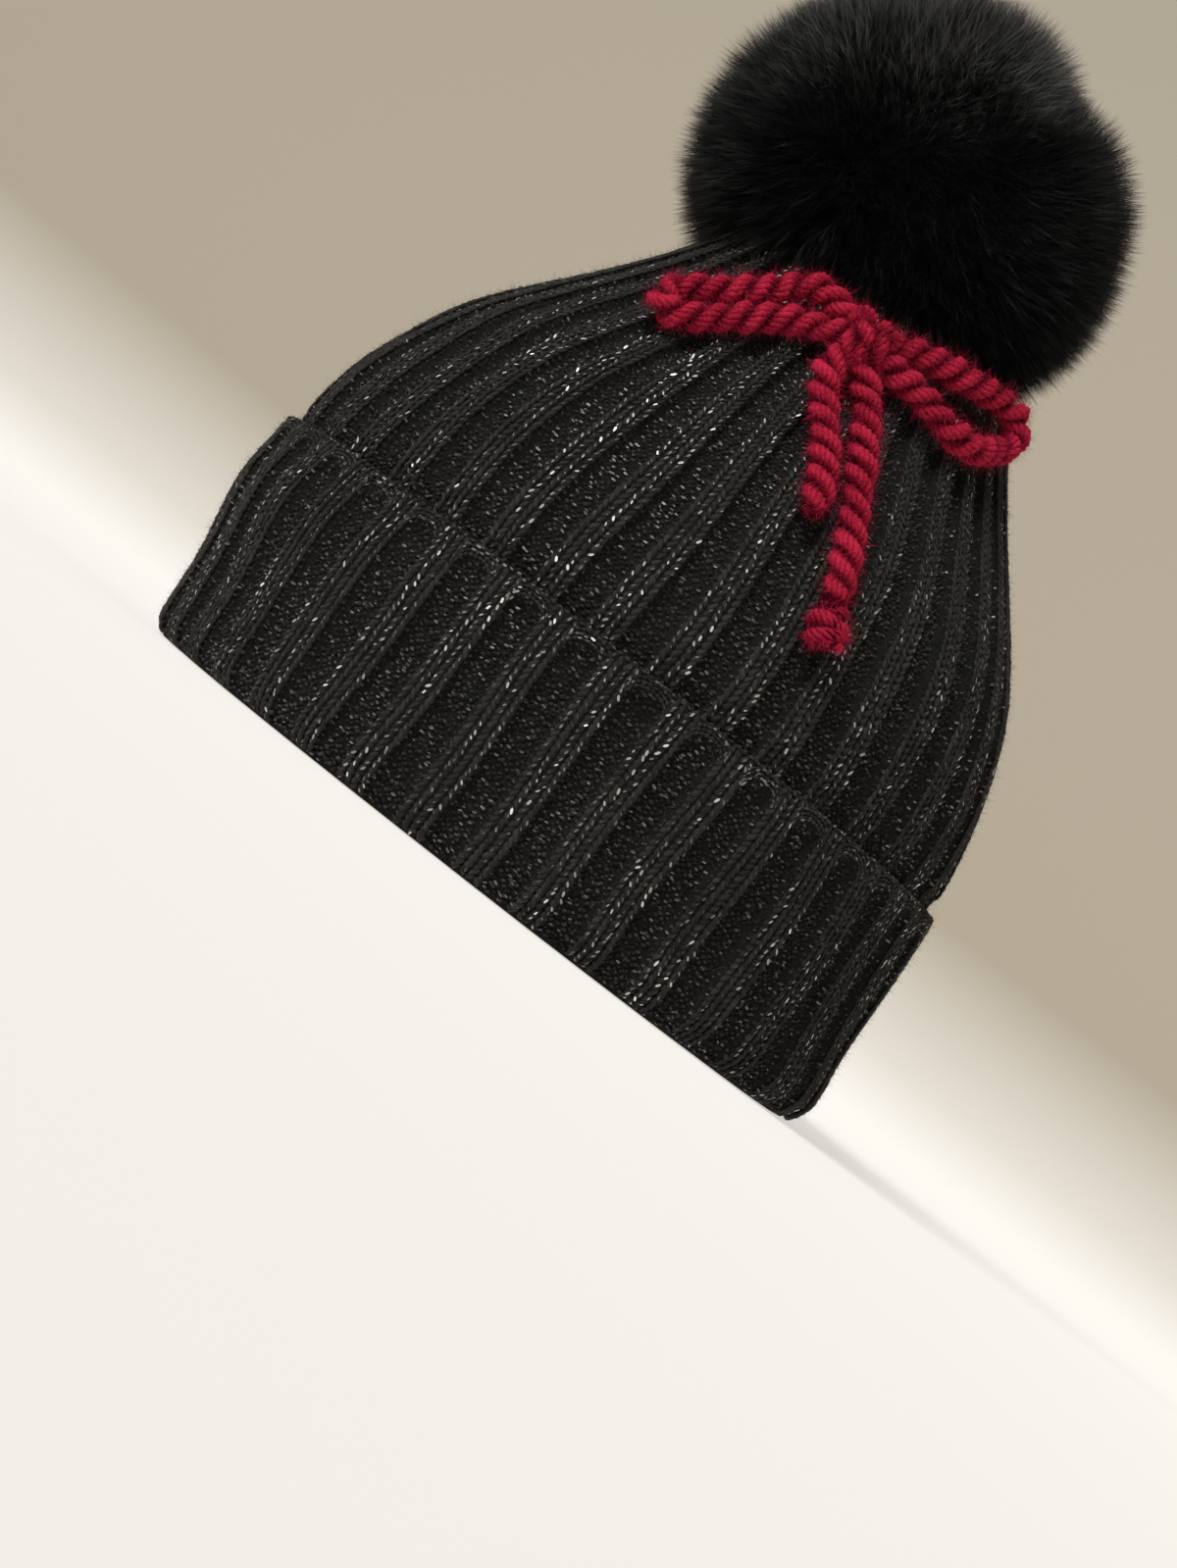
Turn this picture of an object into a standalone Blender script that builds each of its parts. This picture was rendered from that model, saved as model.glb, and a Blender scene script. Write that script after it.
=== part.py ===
"""A ribbed knitted hat with a turned-up cuff, a fur pompom and a bow of yarn cord.

Metres, +Z up along the hat's axis. +X is the back of the hat, and -Y is the side that wears the bow.
The origin is the middle of the rim, on the surface that the hat rests on.
"""

import math
from collections import namedtuple

import bmesh
import bpy
from mathutils import Matrix, Vector, kdtree

# Knit. A pitch is one rib and the valley beside it.
RIB_COUNT = 36
RIB_CREST = 0.40
RIB_FLANK = 0.10
CUFF_RIB_SHIFT = 0.20
CROWN_RIB_SHIFT = CUFF_RIB_SHIFT + 0.5
KNIT_WALL = 0.0020
GAP = 0.0003

# Level sections, at the crests of the ribs. rib_depth is how far the valleys lie below them.
Section = namedtuple("Section", "height half_width half_depth centre_x rib_depth")

CROWN_TOP = 0.1738
CROWN_OUTSIDE = (
    Section(0.0033, 0.0950, 0.0830, 0.0030, 0.0008),
    Section(0.0580, 0.0952, 0.0834, -0.0012, 0.0012),
    Section(0.0660, 0.0958, 0.0840, -0.0012, 0.0020),
    Section(0.0800, 0.0938, 0.0823, -0.0012, 0.0024),
    Section(0.0940, 0.0893, 0.0785, -0.0006, 0.0025),
    Section(0.1080, 0.0828, 0.0732, -0.0002, 0.0026),
    Section(0.1200, 0.0744, 0.0662, 0.0002, 0.0027),
    Section(0.1320, 0.0648, 0.0584, 0.0002, 0.0029),
    Section(0.1440, 0.0553, 0.0506, -0.0002, 0.0031),
    Section(0.1550, 0.0473, 0.0440, -0.0008, 0.0033),
    Section(0.1630, 0.0420, 0.0395, -0.0014, 0.0033),
    Section(0.1690, 0.0340, 0.0326, -0.0020, 0.0030),
    Section(0.1724, 0.0200, 0.0196, -0.0025, 0.0022),
    Section(CROWN_TOP, 0.0090, 0.0090, -0.0025, 0.0010),
)
# The crown's inner wall follows these of its sections, and closes under the gathered top.
CROWN_INSIDE_ROWS = (0, 2, 4, 6, 8, 10)
CROWN_INSIDE_TOP = 0.1640

# The cuff's section runs once round: under the fold, up the outside, down the inside, over the ledge
# that the crown stands on.
CUFF_HEIGHT = 0.0600
LEDGE_HEIGHT = CROWN_OUTSIDE[0].height - GAP
CUFF_ROUND = (
    Section(0.0000, 0.0935, 0.0815, 0.0030, 0.0),
    Section(0.0000, 0.0965, 0.0845, 0.0032, 0.0),
    Section(0.0020, 0.0985, 0.0865, 0.0034, 0.0008),
    Section(0.0070, 0.0991, 0.0871, 0.0034, 0.0016),
    Section(0.0220, 0.0990, 0.0870, 0.0018, 0.0018),
    Section(0.0420, 0.1000, 0.0880, -0.0010, 0.0018),
    Section(0.0540, 0.0990, 0.0872, -0.0012, 0.0018),
    Section(CUFF_HEIGHT, 0.0982, 0.0864, -0.0012, 0.0014),
    Section(CUFF_HEIGHT, 0.0958, 0.0840, -0.0012, 0.0),
    Section(LEDGE_HEIGHT, 0.0953, 0.0833, 0.0030, 0.0),
    Section(LEDGE_HEIGHT, 0.0922, 0.0802, 0.0030, 0.0),
)
WIDEST = CUFF_ROUND[5]

# Pompom: a ball that is fuller below, combed into locks, and pressed flat where it sits.
POMPOM_CENTRE = Vector((-0.0139, 0.0, 0.2034))
POMPOM_RADIUS = 0.0560
POMPOM_UP = 0.0450
POMPOM_DOWN = 0.0560
LOCK_OUT = 0.0035
LOCK_IN = 0.0035
LOCK_SWEEP = 0.0045
LOCK_LEVEL = 4
SEAT_RADIUS = 0.0120
SEAT_HEIGHT = CROWN_TOP + GAP
UNDERSIDE_CLEAR = 0.0025
BOW_BACK = -0.0220
BOW_TOP = 0.1610
BOW_RISE = 0.30
BOW_RISE_FROM = 0.0060

# Bow. Each route runs from the knot along the middle of the cord, through points chosen by hand.
CORD_RADIUS = 0.0035
CORD_STEP = 0.0050
KNOT_CENTRE = (-0.0007, -0.0528, 0.1513)
KNOT_HALF = (0.0080, 0.0052, 0.0070)
KNOT_TILT = math.radians(-30)
TAIL_END_CENTRE = (0.0320, -0.0788, 0.0921)
TAIL_END_HALF = (0.0048, 0.0042, 0.0060)
TAIL_END_TILT = math.radians(-12)
BOW_ROUTES = {
    "bow_loop_left": (
        (-0.0102, -0.0490, 0.1550),
        (-0.0150, -0.0483, 0.1560),
        (-0.0200, -0.0485, 0.1538),
        (-0.0262, -0.0503, 0.1472),
        (-0.0326, -0.0508, 0.1420),
        (-0.0386, -0.0503, 0.1382),
        (-0.0432, -0.0506, 0.1340),
        (-0.0416, -0.0536, 0.1296),
        (-0.0365, -0.0546, 0.1309),
        (-0.0310, -0.0545, 0.1347),
        (-0.0250, -0.0536, 0.1397),
        (-0.0190, -0.0527, 0.1442),
        (-0.0135, -0.0522, 0.1472),
        (-0.0100, -0.0524, 0.1482),
    ),
    "bow_loop_right": (
        (0.0080, -0.0480, 0.1572),
        (0.0125, -0.0460, 0.1588),
        (0.0180, -0.0432, 0.1603),
        (0.0256, -0.0387, 0.1620),
        (0.0335, -0.0325, 0.1640),
        (0.0386, -0.0290, 0.1628),
        (0.0406, -0.0290, 0.1585),
        (0.0386, -0.0335, 0.1539),
        (0.0334, -0.0420, 0.1494),
        (0.0257, -0.0472, 0.1489),
        (0.0179, -0.0488, 0.1503),
        (0.0125, -0.0500, 0.1508),
        (0.0090, -0.0510, 0.1506),
    ),
    "bow_tail_short": (
        (-0.0034, -0.0564, 0.1436),
        (-0.0026, -0.0592, 0.1385),
        (0.0008, -0.0626, 0.1332),
        (0.0048, -0.0660, 0.1281),
        (0.0083, -0.0690, 0.1229),
        (0.0111, -0.0720, 0.1176),
        (0.0140, -0.0752, 0.1109),
    ),
    "bow_tail_long": (
        (0.0052, -0.0560, 0.1436),
        (0.0089, -0.0582, 0.1394),
        (0.0122, -0.0616, 0.1338),
        (0.0180, -0.0676, 0.1232),
        (0.0231, -0.0722, 0.1132),
        (0.0254, -0.0742, 0.1083),
        (0.0275, -0.0757, 0.1035),
        (0.0304, -0.0774, 0.0980),
    ),
}

FINISHES = {
    "charcoal_knit": ((0.018, 0.019, 0.018), 0.92),
    "black_fur": ((0.010, 0.010, 0.012), 0.75),
    "crimson_yarn": ((0.29, 0.008, 0.045), 0.85),
}


def clear_scene():
    for thing in list(bpy.data.objects):
        bpy.data.objects.remove(thing, do_unlink=True)


def make_finish(name):
    colour, roughness = FINISHES[name]
    finish = bpy.data.materials.new(name)
    finish.use_nodes = True
    shader = finish.node_tree.nodes["Principled BSDF"]
    shader.inputs["Base Color"].default_value = (*colour, 1.0)
    shader.inputs["Roughness"].default_value = roughness
    shader.inputs["Metallic"].default_value = 0.0
    return finish


def add_part(name, mesh, finish, collection):
    """Shades the mesh smooth up to its sharp edges and puts it in the scene as one named object."""
    mesh.materials.append(finish)
    mesh.shade_smooth()
    mesh.set_sharp_from_angle(angle=math.radians(40))
    part = bpy.data.objects.new(name, mesh)
    collection.objects.link(part)
    return part


def rib_columns(shift):
    """(angle, relief) of each column of a ribbed wall: relief is 0 on a crest and -1 in a valley.

    An angle of 0 faces -Y and a quarter turn faces +X. The columns keep even steps along the widest section.
    """
    fine = 2880
    angles = [2 * math.pi * i / fine for i in range(fine + 1)]
    along = [0.0]
    for low, high in zip(angles, angles[1:]):
        middle = (low + high) / 2
        step = math.hypot(WIDEST.half_width * math.cos(middle), WIDEST.half_depth * math.sin(middle))
        along.append(along[-1] + step * (high - low))
    half_crest = RIB_CREST / 2
    corners = (
        (-half_crest, 0.0),
        (half_crest, 0.0),
        (half_crest + RIB_FLANK, -1.0),
        (1 - half_crest - RIB_FLANK, -1.0),
    )
    columns = []
    place = 0
    for rib in range(RIB_COUNT):
        for offset, relief in corners:
            turn, share = divmod((rib + shift + offset) / RIB_COUNT, 1.0)
            wanted = share * along[-1]
            place = place if along[place] <= wanted else 0
            while along[place + 1] < wanted:
                place += 1
            part = (wanted - along[place]) / (along[place + 1] - along[place])
            angle = angles[place] + part * (angles[place + 1] - angles[place])
            columns.append((angle + turn * 2 * math.pi, relief))
    return columns


def section_points(section, columns):
    """The points of one level section, one for each column.

    Where it lies to one side of the widest one, its columns turn a little, so that the ribs stay upright.
    """
    aside = (section.centre_x - WIDEST.centre_x) / section.half_width
    points = []
    for column_angle, relief in columns:
        angle = column_angle - aside * math.cos(column_angle)
        sunk = relief * section.rib_depth
        x = section.centre_x + (section.half_width + sunk) * math.sin(angle)
        y = -(section.half_depth + sunk) * math.cos(angle)
        points.append((x, y, section.height))
    return points


def inner_section(row):
    """The crown's inner wall beside one of its outer sections: plain, and one wall's thickness in."""
    section = CROWN_OUTSIDE[row]
    below = CROWN_OUTSIDE[max(row - 1, 0)]
    above = CROWN_OUTSIDE[row + 1]
    outward = Vector((above.height - below.height, below.half_width - above.half_width)).normalized()
    if row == 0:
        outward = Vector((1.0, 0.0))
    inset = outward * (KNIT_WALL + section.rib_depth)
    return Section(
        section.height - inset.y,
        section.half_width - inset.x,
        section.half_depth - inset.x,
        section.centre_x,
        0.0,
    )


def add_ring(mesh, points):
    return [mesh.verts.new(point) for point in points]


def join_rings(mesh, first, second):
    """Faces between two rings. They point out of the solid when second follows first round its section."""
    for i in range(len(first)):
        j = (i + 1) % len(first)
        mesh.faces.new((first[i], first[j], second[j], second[i]))


def close_ring(mesh, ring, point, upward):
    """A fan that closes a ring at its middle."""
    middle = mesh.verts.new(point)
    for i in range(len(ring)):
        j = (i + 1) % len(ring)
        corners = (ring[i], ring[j], middle)
        mesh.faces.new(corners if upward else corners[::-1])


def to_mesh(work, name):
    mesh = bpy.data.meshes.new(name)
    work.to_mesh(mesh)
    work.free()
    return mesh


def crown_mesh():
    """A ribbed cup upside down: the outside up to the gathered top, then the plain inside."""
    columns = rib_columns(CROWN_RIB_SHIFT)
    work = bmesh.new()
    outside = [add_ring(work, section_points(section, columns)) for section in CROWN_OUTSIDE]
    inside = [
        add_ring(work, section_points(inner_section(row), columns)) for row in CROWN_INSIDE_ROWS
    ]
    for lower, upper in zip(outside, outside[1:]):
        join_rings(work, lower, upper)
    top = CROWN_OUTSIDE[-1]
    close_ring(work, outside[-1], (top.centre_x, 0.0, CROWN_TOP), upward=True)
    close_ring(work, inside[-1], (top.centre_x, 0.0, CROWN_INSIDE_TOP), upward=False)
    for lower, upper in zip(inside, inside[1:]):
        join_rings(work, upper, lower)
    join_rings(work, inside[0], outside[0])
    return to_mesh(work, "crown")


def cuff_mesh():
    """A turned-up ribbed band, folded flat where it rests."""
    columns = rib_columns(CUFF_RIB_SHIFT)
    work = bmesh.new()
    rings = [add_ring(work, section_points(section, columns)) for section in CUFF_ROUND]
    for first, second in zip(rings, rings[1:] + rings[:1]):
        join_rings(work, first, second)
    return to_mesh(work, "cuff")


def shoulder_height(x, y):
    """The crown's height above a point of the plan, at the crests of its ribs."""
    for upper, lower in zip(CROWN_OUTSIDE[::-1], CROWN_OUTSIDE[-2::-1]):
        reach_upper = math.hypot((x - upper.centre_x) / upper.half_width, y / upper.half_depth)
        reach_lower = math.hypot((x - lower.centre_x) / lower.half_width, y / lower.half_depth)
        if reach_upper <= 1:
            return upper.height
        if reach_lower <= 1:
            share = (reach_upper - 1) / (reach_upper - reach_lower)
            return upper.height + share * (lower.height - upper.height)
    return 0.0


def lock_point(direction, is_tip, number):
    """Where a point of the ball goes: the tip of a lock is drawn out and swept aside, the rest sinks."""
    rise = POMPOM_UP if direction.z > 0 else POMPOM_DOWN
    size = Vector((POMPOM_RADIUS, POMPOM_RADIUS, rise))
    surface = Vector(d * s for d, s in zip(direction, size))
    if not is_tip:
        return POMPOM_CENTRE + surface - direction * LOCK_IN
    aside = direction.cross(Vector((math.sin(2.4 * number), math.cos(2.4 * number), 0.6)))
    return POMPOM_CENTRE + surface + direction * LOCK_OUT + aside.normalized() * LOCK_SWEEP


def seated(point):
    """The point, raised to clear the crown's top and the bow."""
    from_axis = math.hypot(point.x - CROWN_OUTSIDE[-1].centre_x, point.y)
    if from_axis < SEAT_RADIUS:
        lowest = SEAT_HEIGHT
    else:
        lowest = shoulder_height(point.x, point.y) + UNDERSIDE_CLEAR
    if point.y < BOW_BACK:
        lowest = max(lowest, BOW_TOP + BOW_RISE * max(point.x - BOW_RISE_FROM, 0.0))
    return Vector((point.x, point.y, max(point.z, lowest)))


def pompom_mesh():
    """Locks fused to a ball: every point of a coarse ball becomes the tip of a six-sided lock."""
    coarse = bmesh.new()
    bmesh.ops.create_icosphere(coarse, subdivisions=LOCK_LEVEL - 1, radius=1.0)
    tips = kdtree.KDTree(len(coarse.verts))
    for i, vert in enumerate(coarse.verts):
        tips.insert(vert.co, i)
    tips.balance()
    work = bmesh.new()
    bmesh.ops.create_icosphere(work, subdivisions=LOCK_LEVEL, radius=1.0)
    for vert in work.verts:
        _, number, distance = tips.find(vert.co)
        vert.co = seated(lock_point(vert.co.normalized(), distance < 0.01, number))
    coarse.free()
    return to_mesh(work, "pompom")


def smooth_route(points):
    """Places one step apart along a smooth curve through the route's own points."""
    corners = [Vector(point) for point in points]
    corners = [2 * corners[0] - corners[1], *corners, 2 * corners[-1] - corners[-2]]
    fine = []
    for before, start, end, after in zip(corners, corners[1:], corners[2:], corners[3:]):
        for i in range(20):
            t = i / 20
            along = (end - before) * t
            bend = (2 * before - 5 * start + 4 * end - after) * t**2
            turn = (3 * start - before - 3 * end + after) * t**3
            fine.append(start + (along + bend + turn) / 2)
    fine.append(corners[-2])
    lengths = [0.0]
    for low, high in zip(fine, fine[1:]):
        lengths.append(lengths[-1] + (high - low).length)
    count = round(lengths[-1] / CORD_STEP)
    places = []
    here = 0
    for i in range(count + 1):
        wanted = lengths[-1] * i / count
        while here < len(fine) - 2 and lengths[here + 1] < wanted:
            here += 1
        share = (wanted - lengths[here]) / (lengths[here + 1] - lengths[here])
        places.append(fine[here].lerp(fine[here + 1], share))
    return places


def add_cord(name, finish, collection):
    """A round cord along its route, closed at both ends."""
    places = smooth_route(BOW_ROUTES[name])
    cord = bpy.data.curves.new(name, "CURVE")
    cord.dimensions = "3D"
    cord.bevel_depth = CORD_RADIUS
    cord.bevel_resolution = 2
    cord.use_fill_caps = True
    spline = cord.splines.new("POLY")
    spline.points.add(len(places) - 1)
    for point, place in zip(spline.points, places):
        point.co = (*place, 1.0)
    spline.use_smooth = True
    cord.materials.append(finish)
    collection.objects.link(bpy.data.objects.new(name, cord))


def knot_mesh(name, centre, half_sizes, tilt, level):
    """A rounded knot, its thickness turned out along the crown's slope."""
    work = bmesh.new()
    bmesh.ops.create_icosphere(work, subdivisions=level, radius=1.0)
    bmesh.ops.scale(work, vec=half_sizes, verts=work.verts)
    bmesh.ops.rotate(work, matrix=Matrix.Rotation(tilt, 3, "X"), verts=work.verts)
    bmesh.ops.translate(work, vec=centre, verts=work.verts)
    return to_mesh(work, name)


def main():
    clear_scene()
    collection = bpy.data.collections.new("pom_pom_hat")
    bpy.context.scene.collection.children.link(collection)
    knit, fur, yarn = (make_finish(name) for name in FINISHES)
    add_part("crown", crown_mesh(), knit, collection)
    add_part("cuff", cuff_mesh(), knit, collection)
    add_part("pompom", pompom_mesh(), fur, collection)
    knot = knot_mesh("bow_knot", KNOT_CENTRE, KNOT_HALF, KNOT_TILT, level=3)
    add_part("bow_knot", knot, yarn, collection)
    tail_end = knot_mesh("bow_tail_end", TAIL_END_CENTRE, TAIL_END_HALF, TAIL_END_TILT, level=2)
    add_part("bow_tail_end", tail_end, yarn, collection)
    for name in BOW_ROUTES:
        add_cord(name, yarn, collection)


if __name__ == "__main__":
    main()
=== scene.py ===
"""Looks of the pom-pom hat: rib knit with silver thread, a turned-up cuff, a fur pompom and a yarn bow."""

import math
from collections import namedtuple

import bmesh
import bpy
import numpy as np
from mathutils import Matrix, Vector


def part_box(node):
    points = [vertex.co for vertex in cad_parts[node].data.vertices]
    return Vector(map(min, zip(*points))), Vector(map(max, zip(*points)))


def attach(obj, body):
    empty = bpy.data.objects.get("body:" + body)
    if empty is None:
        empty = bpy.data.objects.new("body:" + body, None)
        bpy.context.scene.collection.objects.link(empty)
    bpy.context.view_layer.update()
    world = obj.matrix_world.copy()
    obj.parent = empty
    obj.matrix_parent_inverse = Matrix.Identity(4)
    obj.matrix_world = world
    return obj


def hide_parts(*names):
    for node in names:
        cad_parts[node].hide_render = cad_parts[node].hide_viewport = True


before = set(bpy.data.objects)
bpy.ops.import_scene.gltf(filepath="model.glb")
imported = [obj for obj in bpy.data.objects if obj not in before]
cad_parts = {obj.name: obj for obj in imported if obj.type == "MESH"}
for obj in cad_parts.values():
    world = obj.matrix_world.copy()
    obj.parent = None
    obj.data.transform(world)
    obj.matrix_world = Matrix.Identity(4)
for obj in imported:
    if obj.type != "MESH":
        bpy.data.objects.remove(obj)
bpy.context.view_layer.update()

# Knit. A pitch is one rib and the valley beside it, and the places across it are shares of a pitch.
RIB_COUNT = 36
CUFF_RIB_SHIFT = 0.20
CROWN_RIB_SHIFT = CUFF_RIB_SHIFT + 0.5
RIB_EDGE = 0.21
VALLEY_EDGE = 0.31
WALL_COLUMNS = (0.0, 0.20, 0.255, 0.31, 0.405, 0.5, 0.595, 0.69, 0.745, 0.80)
RIB_LEGS = (-0.182, -0.062, 0.062, 0.182)
VALLEY_BUMPS = (0.260, 0.320, 0.380, 0.440, 0.500, 0.560, 0.620, 0.680, 0.740)
CROWN_ROW = 0.00190
CUFF_ROW = 0.00175
CROWN_FIRST_ROW = 0.0560
CROWN_LAST_ROW = 0.1655
CUFF_FIRST_RUN = 0.0022
CUFF_LAST_GAP = 0.0008
LEG_TILT = math.radians(24)
LOOP_SINK = 0.00025
LEG_TONE = 0.62
BUMP_TONE = 0.60
NARROWEST_YARN = 0.6

# Waviness of worn knit. Sway moves the ribs aside, in pitches, and swell moves the wall out, in metres.
Wave = namedtuple("Wave", "size by_run by_turn start")
SWAY = (Wave(0.034, 90, 38, 0.0), Wave(0.024, 47, -63, 1.0))
SWELL = (Wave(0.0005, 60, 44, 0.0), Wave(0.0004, -95, 82, 0.0))
SWELL_ENDS_AT_GIRTH = 0.3

# Steps of the smooth wall between two sections and round the hat, and how near a place slopes are taken.
SECTION_STEPS = 8
ANGLE_STEPS = 2880
NEAR = 0.0004

# Backing walls under the loops: their depth and thickness, their rings of points, and the cuff's edge and
# fold.
BACKING_SINK = 0.00045
KNIT_WALL = 0.0020
CROWN_RINGS = 30
INNER_RINGS = 12
INNER_TOP = 0.1680
INNER_TOP_RISE = 0.001
INNER_RIBBING = 0.15
CUFF_RINGS = 11
ARCH_RINGS = 9
LIP_GAP = 0.0006
LIP_INSET = 0.0022
LIP_DROP = 0.001
CUFF_THICKNESS = 0.0026
FOLD_RISE = 0.004
FOLD_THICKNESS = 0.0036

# The cuff's valleys end in an arch below its top edge, with lines of yarn round it and a chain above it.
ARCH_INSET = 0.0028
ARCH_RISE = 0.0040
ARCH_ROUNDNESS = 2.3
ARCH_SLOPE = 0.0028
ARCH_LINES = (0.0002, 0.0012, 0.0022)
ARCH_SIDE_SHARE = 0.5
ARCH_POINTS = 200
ARCH_STITCH = 0.0014
CHAIN_PER_RIB = 8
CHAIN_DROP = 0.0003
CHAIN_LEAN = 0.22

# How unevenly purl bumps lie: up, in rows, aside, in pitches, and in depth. They end short of an arch.
BUMP_STRAY_UP = 0.15
BUMP_STRAY_ASIDE = 0.010
BUMP_STRAY_DEPTH = 0.00022
BUMP_SIZES = (0.85, 1.15)
BUMP_END_GAP = 0.4

# Lengths of yarn in the stitches, and flat silver thread. Turn and Tilt are how far they roll, in radians.
YARN = {"Sides": 4, "Rings": 2, "Flat": False, "Unevenness": 0.15, "Mottle": 0.26}
YARN.update({"Turn": 0.12, "Tilt": 0.12})
LEG = {**YARN, "Sides": 3, "Rings": 3, "Thickness": 0.00046, "Width": 0.00096, "Length": 0.00152}
BUMP = {**YARN, "Thickness": 0.00070, "Width": 0.00047, "Length": 0.00074}
BUMP.update({"Unevenness": 0.22, "Mottle": 0.62, "Turn": 0.4, "Tilt": 0.38})
EDGE = {**YARN, "Thickness": 0.00042, "Width": 0.00050, "Length": 0.00096, "Mottle": 0.34, "Tilt": 0.22}
THREAD = {"Sides": 6, "Rings": 2, "Flat": True, "Thickness": 1.0, "Width": 0.00026, "Length": 0.00060}
THREAD.update({"Unevenness": 0.32, "Mottle": 0.05, "Turn": 0.3, "Tilt": 0.24})

# Silver thread on stitches. strength is its tone at full show, and a stitch under the tone least has none;
# the tone sets how bright the thread is painted, a painted glint. swing is by how much it shows less in
# some stretches of a column, as it turns round in the yarn.
Silver = namedtuple("Silver", "strength least swing")
LEG_SILVER = Silver(1.0, 0.12, 0.40)
BUMP_SILVER = Silver(0.42, 0.19, 0.20)
EDGE_SILVER = Silver(0.6, 0.12, 0.40)
THREAD_RISE = 0.00058
THREAD_STRAY_ASIDE = 0.00026
THREAD_STRAY_ALONG = 0.0003
THREAD_TURNS = (0.01, 0.05)
THREAD_SPREAD = (1.5, 2.2)
THREAD_LEAST_SIZE = 0.75
THREAD_SIZE_GAIN = 0.45

# Fuzz: loose fibres that stand off the yarn, from a height up on each wall, so that none goes through the
# floor. A wall's outward side faces away from the hat's middle, where up counts for less than sideways.
FUZZ = {
    "Density": 750000.0,
    "Length": 0.0032,
    "Width": 0.00008,
    "Bend": 0.35,
    "Joints": 2,
    "Shortest": 0.35,
    "Stray": 1.1,
    "Lock Spacing": 0.004,
    "Lock Pull": 0.0,
    "Lock Lean": 0.3,
    "Lock Spread": 0.3,
    "Lock Shade": 0.0,
}
BOW_FUZZ = {**FUZZ, "Density": 1.2e6, "Length": 0.0040, "Shortest": 0.3}
CROWN_FUZZ_FROM = 0.058
CUFF_FUZZ_FROM = 0.005
FUZZ_TOP = 0.17
HAT_MIDDLE = Vector((0.0, 0.0, 0.05))
OUTWARD_UP_SHARE = 0.3
OUTWARD_LEAST = 0.004

# Level sections of the knit, at the crests of the ribs. rib_depth is how far the valleys lie below them.
Section = namedtuple("Section", "height half_width half_depth centre_x rib_depth")

CROWN_SECTIONS = (
    Section(0.0033, 0.0950, 0.0830, 0.0030, 0.0008),
    Section(0.0580, 0.0952, 0.0834, -0.0012, 0.0012),
    Section(0.0660, 0.0958, 0.0840, -0.0012, 0.0020),
    Section(0.0800, 0.0938, 0.0823, -0.0012, 0.0024),
    Section(0.0940, 0.0893, 0.0785, -0.0006, 0.0025),
    Section(0.1080, 0.0828, 0.0732, -0.0002, 0.0026),
    Section(0.1200, 0.0744, 0.0662, 0.0002, 0.0027),
    Section(0.1320, 0.0648, 0.0584, 0.0002, 0.0029),
    Section(0.1440, 0.0553, 0.0506, -0.0002, 0.0031),
    Section(0.1550, 0.0473, 0.0440, -0.0008, 0.0033),
    Section(0.1630, 0.0420, 0.0395, -0.0014, 0.0033),
    Section(0.1690, 0.0340, 0.0326, -0.0020, 0.0030),
    Section(0.1724, 0.0200, 0.0196, -0.0025, 0.0022),
    Section(0.1738, 0.0090, 0.0090, -0.0025, 0.0010),
)
CUFF_SECTIONS = (
    Section(0.0002, 0.0948, 0.0828, 0.0032, 0.0002),
    Section(0.0012, 0.0966, 0.0846, 0.0034, 0.0008),
    Section(0.0038, 0.0984, 0.0864, 0.0034, 0.0015),
    Section(0.0085, 0.0993, 0.0873, 0.0034, 0.0020),
    Section(0.0220, 0.0992, 0.0872, 0.0018, 0.0022),
    Section(0.0420, 0.1000, 0.0880, -0.0010, 0.0022),
    Section(0.0540, 0.0990, 0.0872, -0.0012, 0.0020),
    Section(0.0600, 0.0982, 0.0864, -0.0012, 0.0016),
)

# Bow. Each route runs from the knot along the middle of the cord, and is the route of the cord's solid.
BOW_ROUTES = {
    "bow_loop_left": (
        (-0.0102, -0.0490, 0.1550),
        (-0.0150, -0.0483, 0.1560),
        (-0.0200, -0.0485, 0.1538),
        (-0.0262, -0.0503, 0.1472),
        (-0.0326, -0.0508, 0.1420),
        (-0.0386, -0.0503, 0.1382),
        (-0.0432, -0.0506, 0.1340),
        (-0.0416, -0.0536, 0.1296),
        (-0.0365, -0.0546, 0.1309),
        (-0.0310, -0.0545, 0.1347),
        (-0.0250, -0.0536, 0.1397),
        (-0.0190, -0.0527, 0.1442),
        (-0.0135, -0.0522, 0.1472),
        (-0.0100, -0.0524, 0.1482),
    ),
    "bow_loop_right": (
        (0.0080, -0.0480, 0.1572),
        (0.0125, -0.0460, 0.1588),
        (0.0180, -0.0432, 0.1603),
        (0.0256, -0.0387, 0.1620),
        (0.0335, -0.0325, 0.1640),
        (0.0386, -0.0290, 0.1628),
        (0.0406, -0.0290, 0.1585),
        (0.0386, -0.0335, 0.1539),
        (0.0334, -0.0420, 0.1494),
        (0.0257, -0.0472, 0.1489),
        (0.0179, -0.0488, 0.1503),
        (0.0125, -0.0500, 0.1508),
        (0.0090, -0.0510, 0.1506),
    ),
    "bow_tail_short": (
        (-0.0034, -0.0564, 0.1436),
        (-0.0026, -0.0592, 0.1385),
        (0.0008, -0.0626, 0.1332),
        (0.0048, -0.0660, 0.1281),
        (0.0083, -0.0690, 0.1229),
        (0.0111, -0.0720, 0.1176),
        (0.0140, -0.0752, 0.1109),
    ),
    "bow_tail_long": (
        (0.0052, -0.0560, 0.1436),
        (0.0089, -0.0582, 0.1394),
        (0.0122, -0.0616, 0.1338),
        (0.0180, -0.0676, 0.1232),
        (0.0231, -0.0722, 0.1132),
        (0.0254, -0.0742, 0.1083),
        (0.0275, -0.0757, 0.1035),
        (0.0304, -0.0774, 0.0980),
    ),
}
KNOT_DEPTH = 0.65
ROUTE_STEPS = 20

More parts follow.
